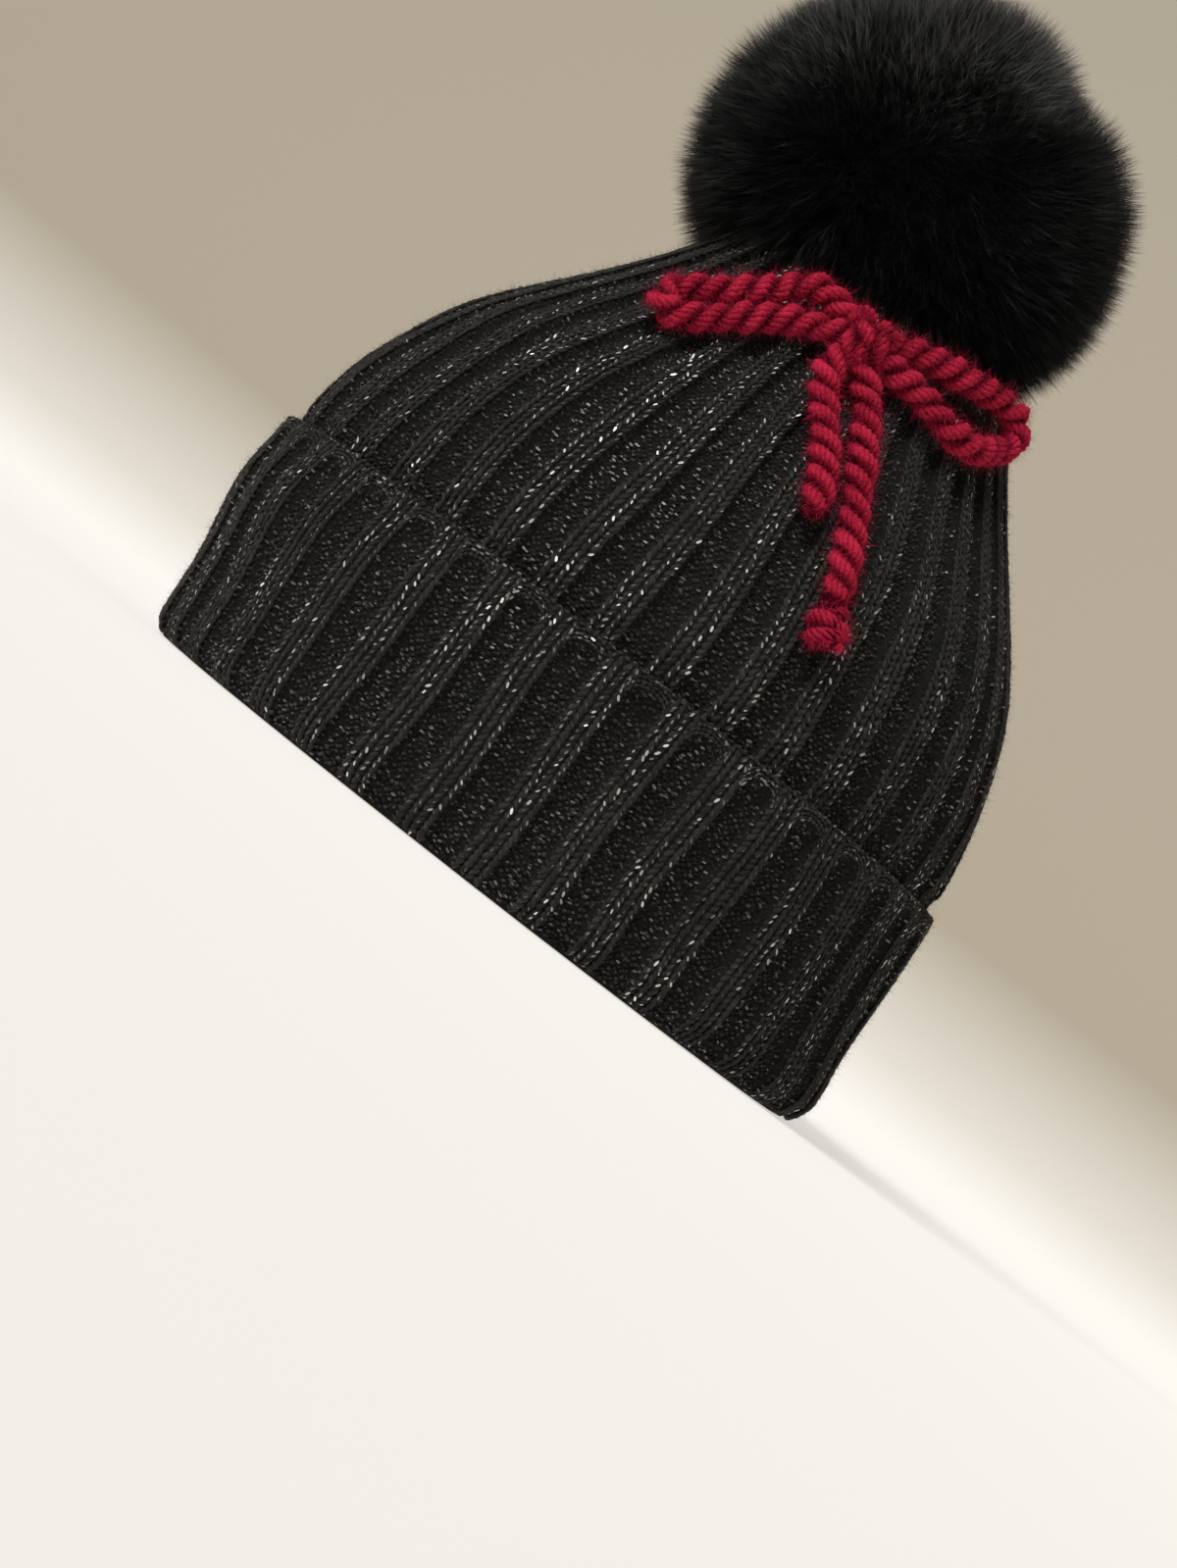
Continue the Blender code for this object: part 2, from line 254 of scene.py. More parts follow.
# Yarn: a cord is plies, each of strands. A reach is how far they lie from the line that they wind round,
# and a turn is the length of one winding. PLY_SLACK is waves in the plies' reach: their size, their pace
# along the cord, and their share of its start. Each next cord, wrap or ply starts turned on by an angle.
PLY_COUNT = 2
PLY_REACH = 0.00190
PLY_TURN = 0.0112
PLY_SLACK = ((0.13, 260, 3), (0.10, 610, 1))
STRAND_COUNT = 5
STRAND_REACH = 0.00118
STRAND_TURN = -0.0070
STRAND_RADIUS = 0.00080
STRAND_SIDES = 5
CORD_REACH = PLY_REACH + STRAND_REACH + STRAND_RADIUS
CORD_STEP = 0.0007
CORD_ROUNDING = 0.0028
CORD_START = 0.8
WRAP_START = 1.7
PLY_START = 1.3
NEARLY_UPRIGHT = 0.1

# A strand narrows to its tips over its last steps, and swells and thins along its length.
STRAND_TIP = 0.2
ROUNDED_STEPS = 3
STRAND_SWELL = 0.07
STRAND_SWELL_PACE = 0.9
STRAND_SWELL_SHIFT = 2.0

# The bow's knot is two wraps of the cord, each with its place aside and its lean.
KNOT_WRAPS = ((-0.0026, 0.45), (0.0026, -0.15))
KNOT_OUT = (0.0, -0.80, 0.60)
KNOT_DOWN = (0.0, -0.60, -0.80)
KNOT_RISE = 0.0008
KNOT_HALF_DEPTH = 0.0034
KNOT_HALF_HEIGHT = 0.0042
RING_STEPS = 80

# The knot that ends the long tail is turns of strands, each with its place down the cord, size, lean and
# start, with frayed strands under them, each a little different.
TAIL_END_TURNS = (
    (-0.0032, 0.0026, 0.5, 2.6),
    (-0.0008, 0.0034, -0.4, 3.4),
    (0.0016, 0.0032, 0.25, 3.2),
)
TAIL_END_OUT = (0.25, -0.93, 0.30)
TAIL_END_RADIUS = STRAND_RADIUS * 0.85
FRAY_COUNT = 26
FRAY_FROM = 0.0014
FRAY_SPREAD = (0.0014, 0.0030)
FRAY_DOWN = (0.0014, 0.0024)
FRAY_FLARE = 0.0010
FRAY_SWERVE = (-0.0012, 0.0012)
FRAY_TIP_DOWN = (0.0001, 0.0012)
FRAY_TIP_IN = (0.0002, 0.0014)
FRAY_STEPS = 8

# Pompom: fur on a ball inside the pompom's outer form, seated on the crown. BALL_REACH and BALL_MIDDLE are
# shares of that form's size. The ball's seat has the proportions of the crown's section CROWN_SHOULDER,
# counted down from the top. The parting is a groove over the ball's top, at an angle from straight up.
BALL_SUBDIVISIONS = 5
BALL_REACH = 0.71
BALL_RISE = 0.0405
BALL_MIDDLE = 0.38
BALL_GAP = 0.0012
CROWN_SHOULDER = 5
PARTING_DEPTH = 0.0065
PARTING_PLACE = math.radians(22)
PARTING_WIDTH = math.radians(12)
PARTING_FRONT_SHARE = 0.7
FUR = {
    "Length": 0.0161,
    "Bend": 0.42,
    "Shortest": 0.78,
    "Stray": 0.24,
    "Lock Spacing": 0.0040,
    "Lock Pull": 0.45,
    "Lock Lean": 0.55,
    "Lock Spread": 0.17,
    "Lock Shade": 0.9,
}
UNDER_FUR = {**FUR, "Density": 5.4e6, "Width": 0.00024, "Joints": 2}
GUARD_FUR = {**FUR, "Density": 1.9e6, "Width": 0.00020, "Joints": 3, "Shortest": 0.86, "Lock Pull": 0.62}

# Noise that leans the locks and makes some of them longer and lighter, and the most locks on a square
# metre. A hair's two edges are joined within JOIN_DISTANCE, which closes its tip.
LOCK_LEAN_NOISE = 60.0
LOCK_LEAN_GAIN = 4.0
LOCK_LENGTH_NOISE = 110.0
MOST_LOCKS = 400000.0
JOIN_DISTANCE = 0.0001

# Painted sheen: pale tips of fur, most of them near a place above the pompom's left side, facing the key
# light. A hair's tone is its least, a part that differs from hair to hair, and within reach of the painted
# sheen another such pair on top.
PAINTED_SHEEN_FROM = (-0.046, -0.028, 0.248)
PAINTED_SHEEN_REACH = 0.069
PAINTED_SHEEN_LEAST = 0.55
PAINTED_SHEEN_BY_HAIR = 4.6
TONE_LEAST = 0.14
TONE_BY_HAIR = 0.42
# How sharply each hair darkens from its tip to its root: painted shade down among the hairs.
ROOT_SHADE_SHARPNESS = 2.2

# Seeds of the random draws. A wall's stitches and their silver thread take the numbers after its own.
CROWN_SEED = 10
CUFF_SEED = 20
EDGE_SEED = 31
THREAD_SEED = 32
CROWN_FUZZ_SEED = 33
CUFF_FUZZ_SEED = 34
EDGE_SILVER_SEED = 35
FUR_SEED = 41
BOW_FUZZ_SEED = 51
FRAY_SEED = 61

# Camera: at the height of the rim, turned as the hat is tipped in the photograph.
CAMERA_PLACE = Vector((0.0116, -0.8, 0.018))
CAMERA_AIM = Vector((0.0116, 0.0, 0.0349))
CAMERA_UP = Vector((-0.616, 0.0, 0.788))
CAMERA_LENS = 75.7
CAMERA_SENSOR = 36.0
CAMERA_NEAREST = 0.01

# Studio: soft light from the upper left and front, an even pale fill, and a floor that curves up all round.
KEY_FROM = Vector((-0.52, -0.57, 0.70))
KEY_STRENGTH = 3.0
KEY_SPREAD = math.radians(28)
KEY_COLOUR = (1.0, 0.98, 0.95)
FILL_STRENGTH = 0.31
FILL_COLOUR = (0.96, 0.98, 1.0, 1.0)
FLOOR_RADIUS = 1.0
FLOOR_STEPS = 4
COVE_RADIUS = 2.0
COVE_STEPS = 24
STUDIO_SIDES = 96
WALL_SHADE_HEIGHT = 1.2
STUDIO_GLOW = 0.60
STUDIO_PALENESS = 0.45


# Small helpers

def add_object(name, data):
    made = bpy.data.objects.new(name, data)
    bpy.context.scene.collection.objects.link(made)
    return made


def add_piece(name, mesh, replaced=()):
    """Puts a finished mesh in the scene as one piece of the hat."""
    piece = add_object(name, mesh)
    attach(piece, "root")
    if replaced:
        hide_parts(*replaced)
    return piece


def mesh_of(name, points, faces, finish):
    mesh = bpy.data.meshes.new(name)
    mesh.from_pydata([tuple(point) for point in points], [], faces)
    mesh.materials.append(finish)
    mesh.shade_smooth()
    mesh.validate()
    return mesh


def some_faces(name, mesh, wanted):
    """A mesh with only those faces of another that are wanted."""
    part = bpy.data.meshes.new(name)
    kept = [tuple(face.vertices) for face in mesh.polygons if wanted(face)]
    part.from_pydata([vertex.co.copy() for vertex in mesh.vertices], [], kept)
    return part


def box_middle(name):
    low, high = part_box(name)
    return (np.array(low) + np.array(high)) / 2


def smooth_points(rows, spans):
    """Catmull-Rom curve through the rows of a table, with that many points to each span."""
    rows = np.asarray(rows, dtype=float)
    rows = np.vstack((2 * rows[0] - rows[1], rows, 2 * rows[-1] - rows[-2]))
    share = (np.arange(spans) / spans)[:, None]
    pieces = []
    for before, start, end, after in zip(rows, rows[1:], rows[2:], rows[3:]):
        along = (end - before) * share
        bend = (2 * before - 5 * start + 4 * end - after) * share**2
        turn = (3 * start - before - 3 * end + after) * share**3
        pieces.append(start + (along + bend + turn) / 2)
    pieces.append(rows[-2:-1])
    return np.vstack(pieces)


def running_sum(steps):
    return np.concatenate(([0.0], np.cumsum(steps)))


def step_lengths(points):
    return np.linalg.norm(np.diff(points, axis=0), axis=1)


def even_points(points, step):
    """The points of a line, one step apart along it."""
    lengths = running_sum(step_lengths(points))
    wanted = np.linspace(0.0, lengths[-1], max(2, round(lengths[-1] / step) + 1))
    return np.column_stack([np.interp(wanted, lengths, points[:, axis]) for axis in range(3)])


def unit(vectors):
    return vectors / np.linalg.norm(vectors, axis=-1, keepdims=True)


def neighbours(columns):
    """The pairs of points side by side round a ring."""
    return [(i, (i + 1) % columns) for i in range(columns)]


def ring_faces(rings, columns, first=0):
    """Faces between rings of points, each ring followed by the next. first is the first point's number."""
    faces = []
    for low in range(first, first + (rings - 1) * columns, columns):
        high = low + columns
        faces += [(low + i, low + j, high + j, high + i) for i, j in neighbours(columns)]
    return faces


# The knitted wall

class Wall:
    """A ribbed wall. A place on it has a turn, 0 to 1 round the hat, and a run, in metres up the wall."""

    def __init__(self, sections, shift, arched):
        self.rows = smooth_points(sections, SECTION_STEPS)
        radius = (self.rows[:, 1] + self.rows[:, 2]) / 2
        self.runs = running_sum(np.hypot(np.diff(radius), np.diff(self.rows[:, 0])))
        self.length = self.runs[-1]
        self.shift = shift
        self.arched = arched
        widest = max(CUFF_SECTIONS, key=lambda row: row.half_width)
        self.middle = widest.centre_x
        self.angles = np.linspace(0.0, 2 * math.pi, ANGLE_STEPS + 1)
        middles = (self.angles[1:] + self.angles[:-1]) / 2
        steps = np.hypot(widest.half_width * np.cos(middles), widest.half_depth * np.sin(middles))
        self.shares = running_sum(steps) / steps.sum()

    def run_at(self, height):
        return float(np.interp(height, self.rows[:, 0], self.runs))

    def turn_of(self, rib, across):
        return (rib + self.shift + across) / RIB_COUNT

    def turns_of(self, places):
        """The turns of the same places across every pitch."""
        return [self.turn_of(rib, place) for rib in range(RIB_COUNT) for place in places]

    def girth_share(self, run):
        """The wall's girth at a run, as a share of its widest."""
        return np.interp(run, self.runs, self.rows[:, 1]) / self.rows[:, 1].max()

    def valley_end(self, across):
        """The run where the valley ends, at a place across the pitch: under an arch, or past the wall."""
        if not self.arched:
            return np.full_like(across, 1.0)
        beside = np.clip(np.abs(across - 0.5) / (0.5 - RIB_EDGE), 0.0, 1.0)
        drop = 1 - (1 - beside**ARCH_ROUNDNESS) ** (1 / ARCH_ROUNDNESS)
        return self.length - ARCH_INSET - ARCH_RISE * drop

    def sunk(self, turn, run):
        """How deep in its rib a place is: 0 on the crest and 1 in the valley."""
        across = (turn * RIB_COUNT - self.shift) % 1.0
        from_crest = np.minimum(across, 1.0 - across)
        share = np.clip((from_crest - RIB_EDGE) / (VALLEY_EDGE - RIB_EDGE), 0.0, 1.0)
        open_share = np.clip((self.valley_end(across) - run) / ARCH_SLOPE, 0.0, 1.0)
        return share * share * (3 - 2 * share) * open_share

    def place(self, turn, run, inset=0.0, ribbed=1.0):
        """Points of the wall, with its ribs kept upright and the slight waviness that worn knit has."""
        turn, run = np.broadcast_arrays(turn, run)
        height, width, depth, centre, rib = (np.interp(run, self.runs, self.rows[:, i]) for i in range(5))
        angle = np.interp((turn + waves(SWAY, turn, run) / RIB_COUNT) % 1.0, self.shares, self.angles)
        angle = angle - (centre - self.middle) / width * np.cos(angle)
        swell = waves(SWELL, turn, run) * np.clip(self.girth_share(run) - SWELL_ENDS_AT_GIRTH, 0, 1)
        out = swell - inset - rib * self.sunk(turn, run) * ribbed
        x = centre + (width + out) * np.sin(angle)
        y = -(depth + out) * np.cos(angle)
        return np.stack((x, y, height), axis=-1)

    def lie(self, turn, run):
        """Points of the wall with its directions there: up the wall, round it, and out of it."""
        here = self.place(turn, run)
        up = unit(self.place(turn, run + NEAR) - self.place(turn, run - NEAR))
        side = unit(self.place(turn + NEAR, run) - self.place(turn - NEAR, run))
        out = unit(np.cross(side, up))
        return here, up, unit(np.cross(up, out)), out


def waves(kinds, turn, run):
    return sum(wave.size * np.sin(run * wave.by_run + turn * wave.by_turn + wave.start) for wave in kinds)


def make_crown_wall(wall, finish):
    """The crown's backing under its loops: outside, gathered top and inside."""
    turns = np.array(wall.turns_of(WALL_COLUMNS))
    columns = len(turns)
    rings = [wall.place(turns, run, BACKING_SINK) for run in np.linspace(0.0, wall.length, CROWN_RINGS)]
    for run in np.linspace(wall.run_at(INNER_TOP), 0.0, INNER_RINGS):
        rib = float(np.interp(run, wall.runs, wall.rows[:, 4]))
        rings.append(wall.place(turns, run, KNIT_WALL + rib, INNER_RIBBING))
    tops = [rings[CROWN_RINGS - 1].mean(axis=0), rings[CROWN_RINGS].mean(axis=0) + (0, 0, INNER_TOP_RISE)]
    inner = CROWN_RINGS * columns
    faces = ring_faces(CROWN_RINGS, columns) + ring_faces(INNER_RINGS, columns, inner)
    outer_last = inner - columns
    top = len(rings) * columns
    last = top - columns
    for i, j in neighbours(columns):
        faces.append((outer_last + i, outer_last + j, top))
        faces.append((inner + j, inner + i, top + 1))
        faces.append((last + i, last + j, j, i))
    return mesh_of("crown_wall", np.vstack(rings + tops), faces, finish)


def make_cuff_wall(wall, finish):
    """The cuff's backing: outside, top edge, inside and the flat fold that the hat stands on."""
    turns = np.array(wall.turns_of(WALL_COLUMNS))
    columns = len(turns)
    arch_foot = wall.length - ARCH_INSET - ARCH_RISE
    arch_runs = np.linspace(arch_foot, wall.length - LIP_GAP, ARCH_RINGS)[1:]
    runs = np.concatenate((np.linspace(0.0, arch_foot, CUFF_RINGS), arch_runs))
    rings = [wall.place(turns, run, BACKING_SINK) for run in runs]
    for run, inset in (
        (wall.length, LIP_INSET),
        (wall.length - LIP_DROP, CUFF_THICKNESS),
        (FOLD_RISE, FOLD_THICKNESS),
        (0.0, CUFF_THICKNESS),
    ):
        rings.append(wall.place(turns, run, inset, 0.0))
    last = (len(rings) - 1) * columns
    faces = ring_faces(len(rings), columns) + [(last + i, last + j, j, i) for i, j in neighbours(columns)]
    return mesh_of("cuff_wall", np.vstack(rings), faces, finish)


# Nodes

def add_node(tree, kind, inputs=None, **settings):
    """A node with its settings, and its inputs given as values or as other nodes' outputs."""
    node = tree.nodes.new(kind)
    for name, value in settings.items():
        setattr(node, name, value)
    for name, value in (inputs or {}).items():
        if isinstance(value, bpy.types.NodeSocket):
            tree.links.new(value, node.inputs[name])
        else:
            node.inputs[name].default_value = value
    return node


def add_sockets(tree, in_out, sockets):
    """Names a tree's inputs or outputs. sockets gives the names of each kind."""
    for kind, labels in sockets.items():
        for label in labels:
            tree.interface.new_socket(label, in_out=in_out, socket_type="NodeSocket" + kind)


def new_tree(name, inputs):
    tree = bpy.data.node_groups.new(name, "GeometryNodeTree")
    add_sockets(tree, "INPUT", {"Geometry": ("Geometry",), **inputs})
    add_sockets(tree, "OUTPUT", {"Geometry": ("Geometry",)})
    return tree


def math_node(tree, operation, *values):
    return add_node(tree, "ShaderNodeMath", dict(enumerate(values)), operation=operation).outputs[0]


def vector_math(tree, operation, *values):
    sockets = (0, "Scale") if operation == "SCALE" else (0, 1)
    node = add_node(tree, "ShaderNodeVectorMath", dict(zip(sockets, values)), operation=operation)
    return node.outputs["Value" if operation == "LENGTH" else "Vector"]


def noise_at(tree, where, scale, detail):
    return add_node(tree, "ShaderNodeTexNoise", {"Vector": where, "Scale": scale, "Detail": detail}).outputs


def split(tree, vector):
    return add_node(tree, "ShaderNodeSeparateXYZ", {0: vector}).outputs


def combined(tree, *values):
    return add_node(tree, "ShaderNodeCombineXYZ", dict(enumerate(values))).outputs[0]


def positions(tree):
    return add_node(tree, "GeometryNodeInputPosition").outputs[0]


def named_value(tree, name, kind="FLOAT_VECTOR"):
    return add_node(tree, "GeometryNodeInputNamedAttribute", {"Name": name}, data_type=kind).outputs[0]


def stored(tree, geometry, name, value, domain):
    """The geometry with a number kept on it by name."""
    inputs = {"Geometry": geometry, "Name": name, "Value": value}
    node = add_node(tree, "GeometryNodeStoreNamedAttribute", inputs, data_type="FLOAT", domain=domain)
    return node.outputs[0]


def random_between(tree, low, high, seed, offset):
    """A random number for each point, between two values or sockets. Each offset gives other numbers."""
    inputs = {2: low, 3: high, "Seed": math_node(tree, "ADD", seed, float(offset))}
    return add_node(tree, "FunctionNodeRandomValue", inputs).outputs[1]


def random_within(tree, reach, seed, offset):
    """A random number for each point, up to a reach either way."""
    return random_between(tree, math_node(tree, "MULTIPLY", reach, -1.0), reach, seed, offset)


def random_way(tree, seed, offset):
    """A random vector for each point."""
    shifted = math_node(tree, "ADD", seed, float(offset))
    inputs = {"Min": (-1.0, -1.0, -1.0), "Max": (1.0, 1.0, 1.0), "Seed": shifted}
    return add_node(tree, "FunctionNodeRandomValue", inputs, data_type="FLOAT_VECTOR").outputs[0]


def turned_along(tree, ahead, aside):
    """The rotation that brings the Z axis to one direction and the X axis towards another."""
    axes = {"Primary Axis": ahead, "Secondary Axis": aside}
    return add_node(
        tree, "FunctionNodeAxesToRotation", axes, primary_axis="Z", secondary_axis="X"
    ).outputs[0]


def laid_on(tree, points, shape, rotation, size):
    inputs = {"Points": points, "Instance": shape, "Rotation": rotation, "Scale": size}
    return add_node(tree, "GeometryNodeInstanceOnPoints", inputs).outputs[0]


def finish_tree(tree, instances, shade, material):
    """Keeps each instance's shade, realizes them all, and gives them smooth shading and a material."""
    shaded = stored(tree, instances, "shade", shade, "INSTANCE")
    real = add_node(tree, "GeometryNodeRealizeInstances", {"Geometry": shaded})
    smooth = add_node(tree, "GeometryNodeSetShadeSmooth", {"Geometry": real.outputs[0]})
    finish = {"Geometry": smooth.outputs[0], "Material": material}
    coloured = add_node(tree, "GeometryNodeSetMaterial", finish)
    add_node(tree, "NodeGroupOutput", {"Geometry": coloured.outputs[0]})


# What repeats: trees of Geometry Nodes

def loops_tree():
    """A short length of yarn, or of flat thread, on every point. lie is its direction, face is outwards,
    squeeze is its share of full size, and tone is how light its shade is."""
    tree = new_tree(
        "yarn_loops",
        {
            "Float": ("Thickness", "Width", "Length", "Unevenness", "Mottle", "Turn", "Tilt"),
            "Int": ("Sides", "Rings", "Seed"),
            "Bool": ("Flat",),
            "Material": ("Yarn",),
        },
    )
    given = add_node(tree, "NodeGroupInput").outputs
    sides, seed = given["Sides"], given["Seed"]
    ball = add_node(
        tree, "GeometryNodeMeshUVSphere", {"Segments": sides, "Rings": given["Rings"], "Radius": 1.0}
    )
    disc = add_node(tree, "GeometryNodeMeshCircle", {"Vertices": sides, "Radius": 1.0}, fill_type="NGON")
    upright = {"Geometry": disc.outputs[0], "Rotation": (0.0, math.pi / 2, 0.0)}
    disc = add_node(tree, "GeometryNodeTransform", upright)
    shapes = {"Switch": given["Flat"], "False": ball.outputs[0], "True": disc.outputs[0]}
    shape = add_node(tree, "GeometryNodeSwitch", shapes, input_type="GEOMETRY").outputs[0]
    roll = combined(
        tree,
        random_within(tree, given["Turn"], seed, 1),
        random_within(tree, given["Tilt"], seed, 2),
        random_within(tree, given["Tilt"], seed, 5),
    )
    turns = {
        "Rotation": turned_along(tree, named_value(tree, "lie"), named_value(tree, "face")),
        "Rotate By": add_node(tree, "FunctionNodeEulerToRotation", {0: roll}).outputs[0],
    }
    rotation = add_node(tree, "FunctionNodeRotateRotation", turns, rotation_space="LOCAL").outputs[0]
    size = combined(tree, given["Thickness"], given["Width"], given["Length"])
    size = vector_math(tree, "MULTIPLY", size, named_value(tree, "squeeze"))
    low = math_node(tree, "SUBTRACT", 1.0, given["Unevenness"])
    high = math_node(tree, "ADD", 1.0, given["Unevenness"])
    size = vector_math(tree, "SCALE", size, random_between(tree, low, high, seed, 3))
    laid = laid_on(tree, given["Geometry"], shape, rotation, size)
    tone = named_value(tree, "tone", "FLOAT")
    shade = math_node(tree, "ADD", tone, random_within(tree, given["Mottle"], seed, 4))
    finish_tree(tree, laid, shade, given["Yarn"])
    return tree


def hair(tree, joints, bend):
    """One hair of unit length, tapered and bent, with rise from 0 at its root to 1 at its tip."""
    sizes = {"Size X": 1.0, "Size Y": 1.0, "Vertices X": 2, "Vertices Y": joints}
    blade = add_node(tree, "GeometryNodeMeshGrid", sizes).outputs[0]
    x, y, _ = split(tree, positions(tree))
    rise = math_node(tree, "ADD", y, 0.5)
    rise_squared = math_node(tree, "MULTIPLY", rise, rise)
    width = math_node(tree, "MULTIPLY", x, math_node(tree, "SUBTRACT", 1.0, rise_squared))
    shape = combined(tree, width, math_node(tree, "MULTIPLY", rise_squared, bend), rise)
    blade = add_node(tree, "GeometryNodeSetPosition", {"Geometry": blade, "Position": shape}).outputs[0]
    _, _, height = split(tree, positions(tree))
    blade = stored(tree, blade, "rise", height, "POINT")
    joined_tip = {"Geometry": blade, "Distance": JOIN_DISTANCE}
    return add_node(tree, "GeometryNodeMergeByDistance", joined_tip).outputs[0]


def lock_centres(tree, given):
    """The middle of each hair's lock: the nearest of the points that are spread evenly over the surface."""
    inputs = {
        "Mesh": given["Geometry"],
        "Distance Min": given["Lock Spacing"],
        "Density Max": MOST_LOCKS,
        "Seed": given["Seed"],
    }
    kind = "GeometryNodeDistributePointsOnFaces"
    centres = add_node(tree, kind, inputs, distribute_method="POISSON").outputs[0]
    nearest = add_node(tree, "GeometryNodeSampleNearest", {"Geometry": centres}, domain="POINT").outputs[0]
    inputs = {"Geometry": centres, "Value": positions(tree), "Index": nearest}
    sampled = add_node(tree, "GeometryNodeSampleIndex", inputs, data_type="FLOAT_VECTOR", domain="POINT")
    return sampled.outputs[0]


def fur_tree():
    """Tapered hairs on a surface. They lean together into locks, round points spread over the surface."""
    locks = ("Lock Spacing", "Lock Pull", "Lock Lean", "Lock Spread", "Lock Shade")
    tree = new_tree(
        "fur",
        {
            "Float": ("Density", "Length", "Width", "Bend", "Shortest", "Stray", *locks),
            "Int": ("Joints", "Seed"),
            "Material": ("Hair",),
        },
    )
    given = add_node(tree, "NodeGroupInput").outputs
    full, seed = given["Length"], given["Seed"]
    inputs = {"Mesh": given["Geometry"], "Density": given["Density"], "Seed": seed}
    roots = add_node(tree, "GeometryNodeDistributePointsOnFaces", inputs).outputs
    centre = lock_centres(tree, given)
    lean = noise_at(tree, centre, LOCK_LEAN_NOISE, detail=2.0)["Color"]
    lean = vector_math(tree, "SUBTRACT", lean, (0.5, 0.5, 0.5))
    lean = vector_math(tree, "SCALE", lean, math_node(tree, "MULTIPLY", given["Lock Lean"], LOCK_LEAN_GAIN))
    gathered = vector_math(tree, "SUBTRACT", centre, positions(tree))
    gathered = vector_math(tree, "SCALE", gathered, math_node(tree, "DIVIDE", given["Lock Pull"], full))
    stray = vector_math(tree, "SCALE", random_way(tree, seed, 0), given["Stray"])
    way = roots["Normal"]
    for part in (lean, gathered, stray):
        way = vector_math(tree, "ADD", way, part)
    uneven = noise_at(tree, centre, LOCK_LENGTH_NOISE, detail=1.0)["Fac"]
    uneven = math_node(tree, "MULTIPLY_ADD", uneven, 2.0, -1.0)
    length = math_node(tree, "MULTIPLY", full, random_between(tree, given["Shortest"], 1.0, seed, 6))
    spread = math_node(tree, "MULTIPLY_ADD", uneven, given["Lock Spread"], 1.0)
    length = math_node(tree, "MULTIPLY", length, spread)
    laid = laid_on(
        tree,
        roots["Points"],
        hair(tree, given["Joints"], given["Bend"]),
        turned_along(tree, way, random_way(tree, seed, 5)),
        combined(tree, given["Width"], length, length),
    )
    own = random_between(tree, 0.0, 1.0, seed, 7)
    shade = math_node(tree, "MULTIPLY_ADD", uneven, given["Lock Shade"], own)
    finish_tree(tree, laid, shade, given["Hair"])
    return tree


def grown(name, base, tree, sizes):
    """A plain mesh of what a tree makes on a base mesh. sizes sets the tree's inputs by their names."""
    carrier = add_object(name + "_base", base)
    modifier = carrier.modifiers.new("grow", "NODES")
    modifier.node_group = tree
    sockets = {item.name: item.identifier for item in tree.interface.items_tree if item.in_out == "INPUT"}
    for label, value in sizes.items():
        modifier[sockets[label]] = value
    depsgraph = bpy.context.evaluated_depsgraph_get()
    mesh = bpy.data.meshes.new_from_object(carrier.evaluated_get(depsgraph))
    mesh.name = name
    carrier.modifiers.remove(modifier)
    bpy.data.objects.remove(carrier)
    return mesh


def add_grown(name, base, tree, sizes):
    return add_piece(name, grown(name, base, tree, sizes))


# Stitches

Stitches = namedtuple("Stitches", "points lie face squeeze tone")
ABSENT = -1.0


def flat(*grids):
    """Stitches from grids of columns and rows."""
    return Stitches(*(grid.reshape(-1, 3) if grid.ndim == 3 else grid.ravel() for grid in grids))


def joined(parts):
    return Stitches(*(np.concatenate(values) for values in zip(*parts)))


def only(stitches, kept):
    return Stitches(*(values[kept] for values in stitches))


def floats(values):
    return np.ascontiguousarray(values, dtype=np.float32).ravel()


def points_mesh(name, stitches):
    """The places of short lengths of yarn, with their directions, shares of full size and tones."""
    mesh = bpy.data.meshes.new(name)
    mesh.vertices.add(len(stitches.points))
    mesh.vertices.foreach_set("co", floats(stitches.points))
    for label in ("lie", "face", "squeeze"):
        attribute = mesh.attributes.new(label, "FLOAT_VECTOR", "POINT")
        attribute.data.foreach_set("vector", floats(getattr(stitches, label)))
    tone = mesh.attributes.new("tone", "FLOAT", "POINT")
    tone.data.foreach_set("value", floats(stitches.tone))
    return mesh


def make_loops(name, stitches, tree, sizes, material, seed):
    present = points_mesh(name + "_points", only(stitches, stitches.tone > ABSENT))
    return add_grown(name, present, tree, {**sizes, "Yarn": material, "Seed": seed})


def narrowed(share):
    """How thick the yarn is where the wall's girth is a share of its widest."""
    return NARROWEST_YARN + (1 - NARROWEST_YARN) * share


def leg_stitches(wall, runs, tilt):
    """Columns of legs of knit stitches. A positive tilt makes V shapes, a negative one turns them over."""
    turns = wall.turns_of(RIB_LEGS)
    leans = [tilt * (number % 2 * 2 - 1) for number in range(len(turns))]
    turn, run = np.meshgrid(turns, runs, indexing="ij")
    lean = np.broadcast_to(np.array(leans)[:, None], turn.shape)
    here, up, side, out = wall.lie(turn, run)
    lie = up * np.cos(lean)[..., None] + side * np.sin(lean)[..., None]
    share = wall.girth_share(run)
    squeeze = np.stack((narrowed(share), share, np.ones_like(share)), axis=-1)
    return flat(here - out * LOOP_SINK, lie, out, squeeze, np.full_like(share, LEG_TONE))


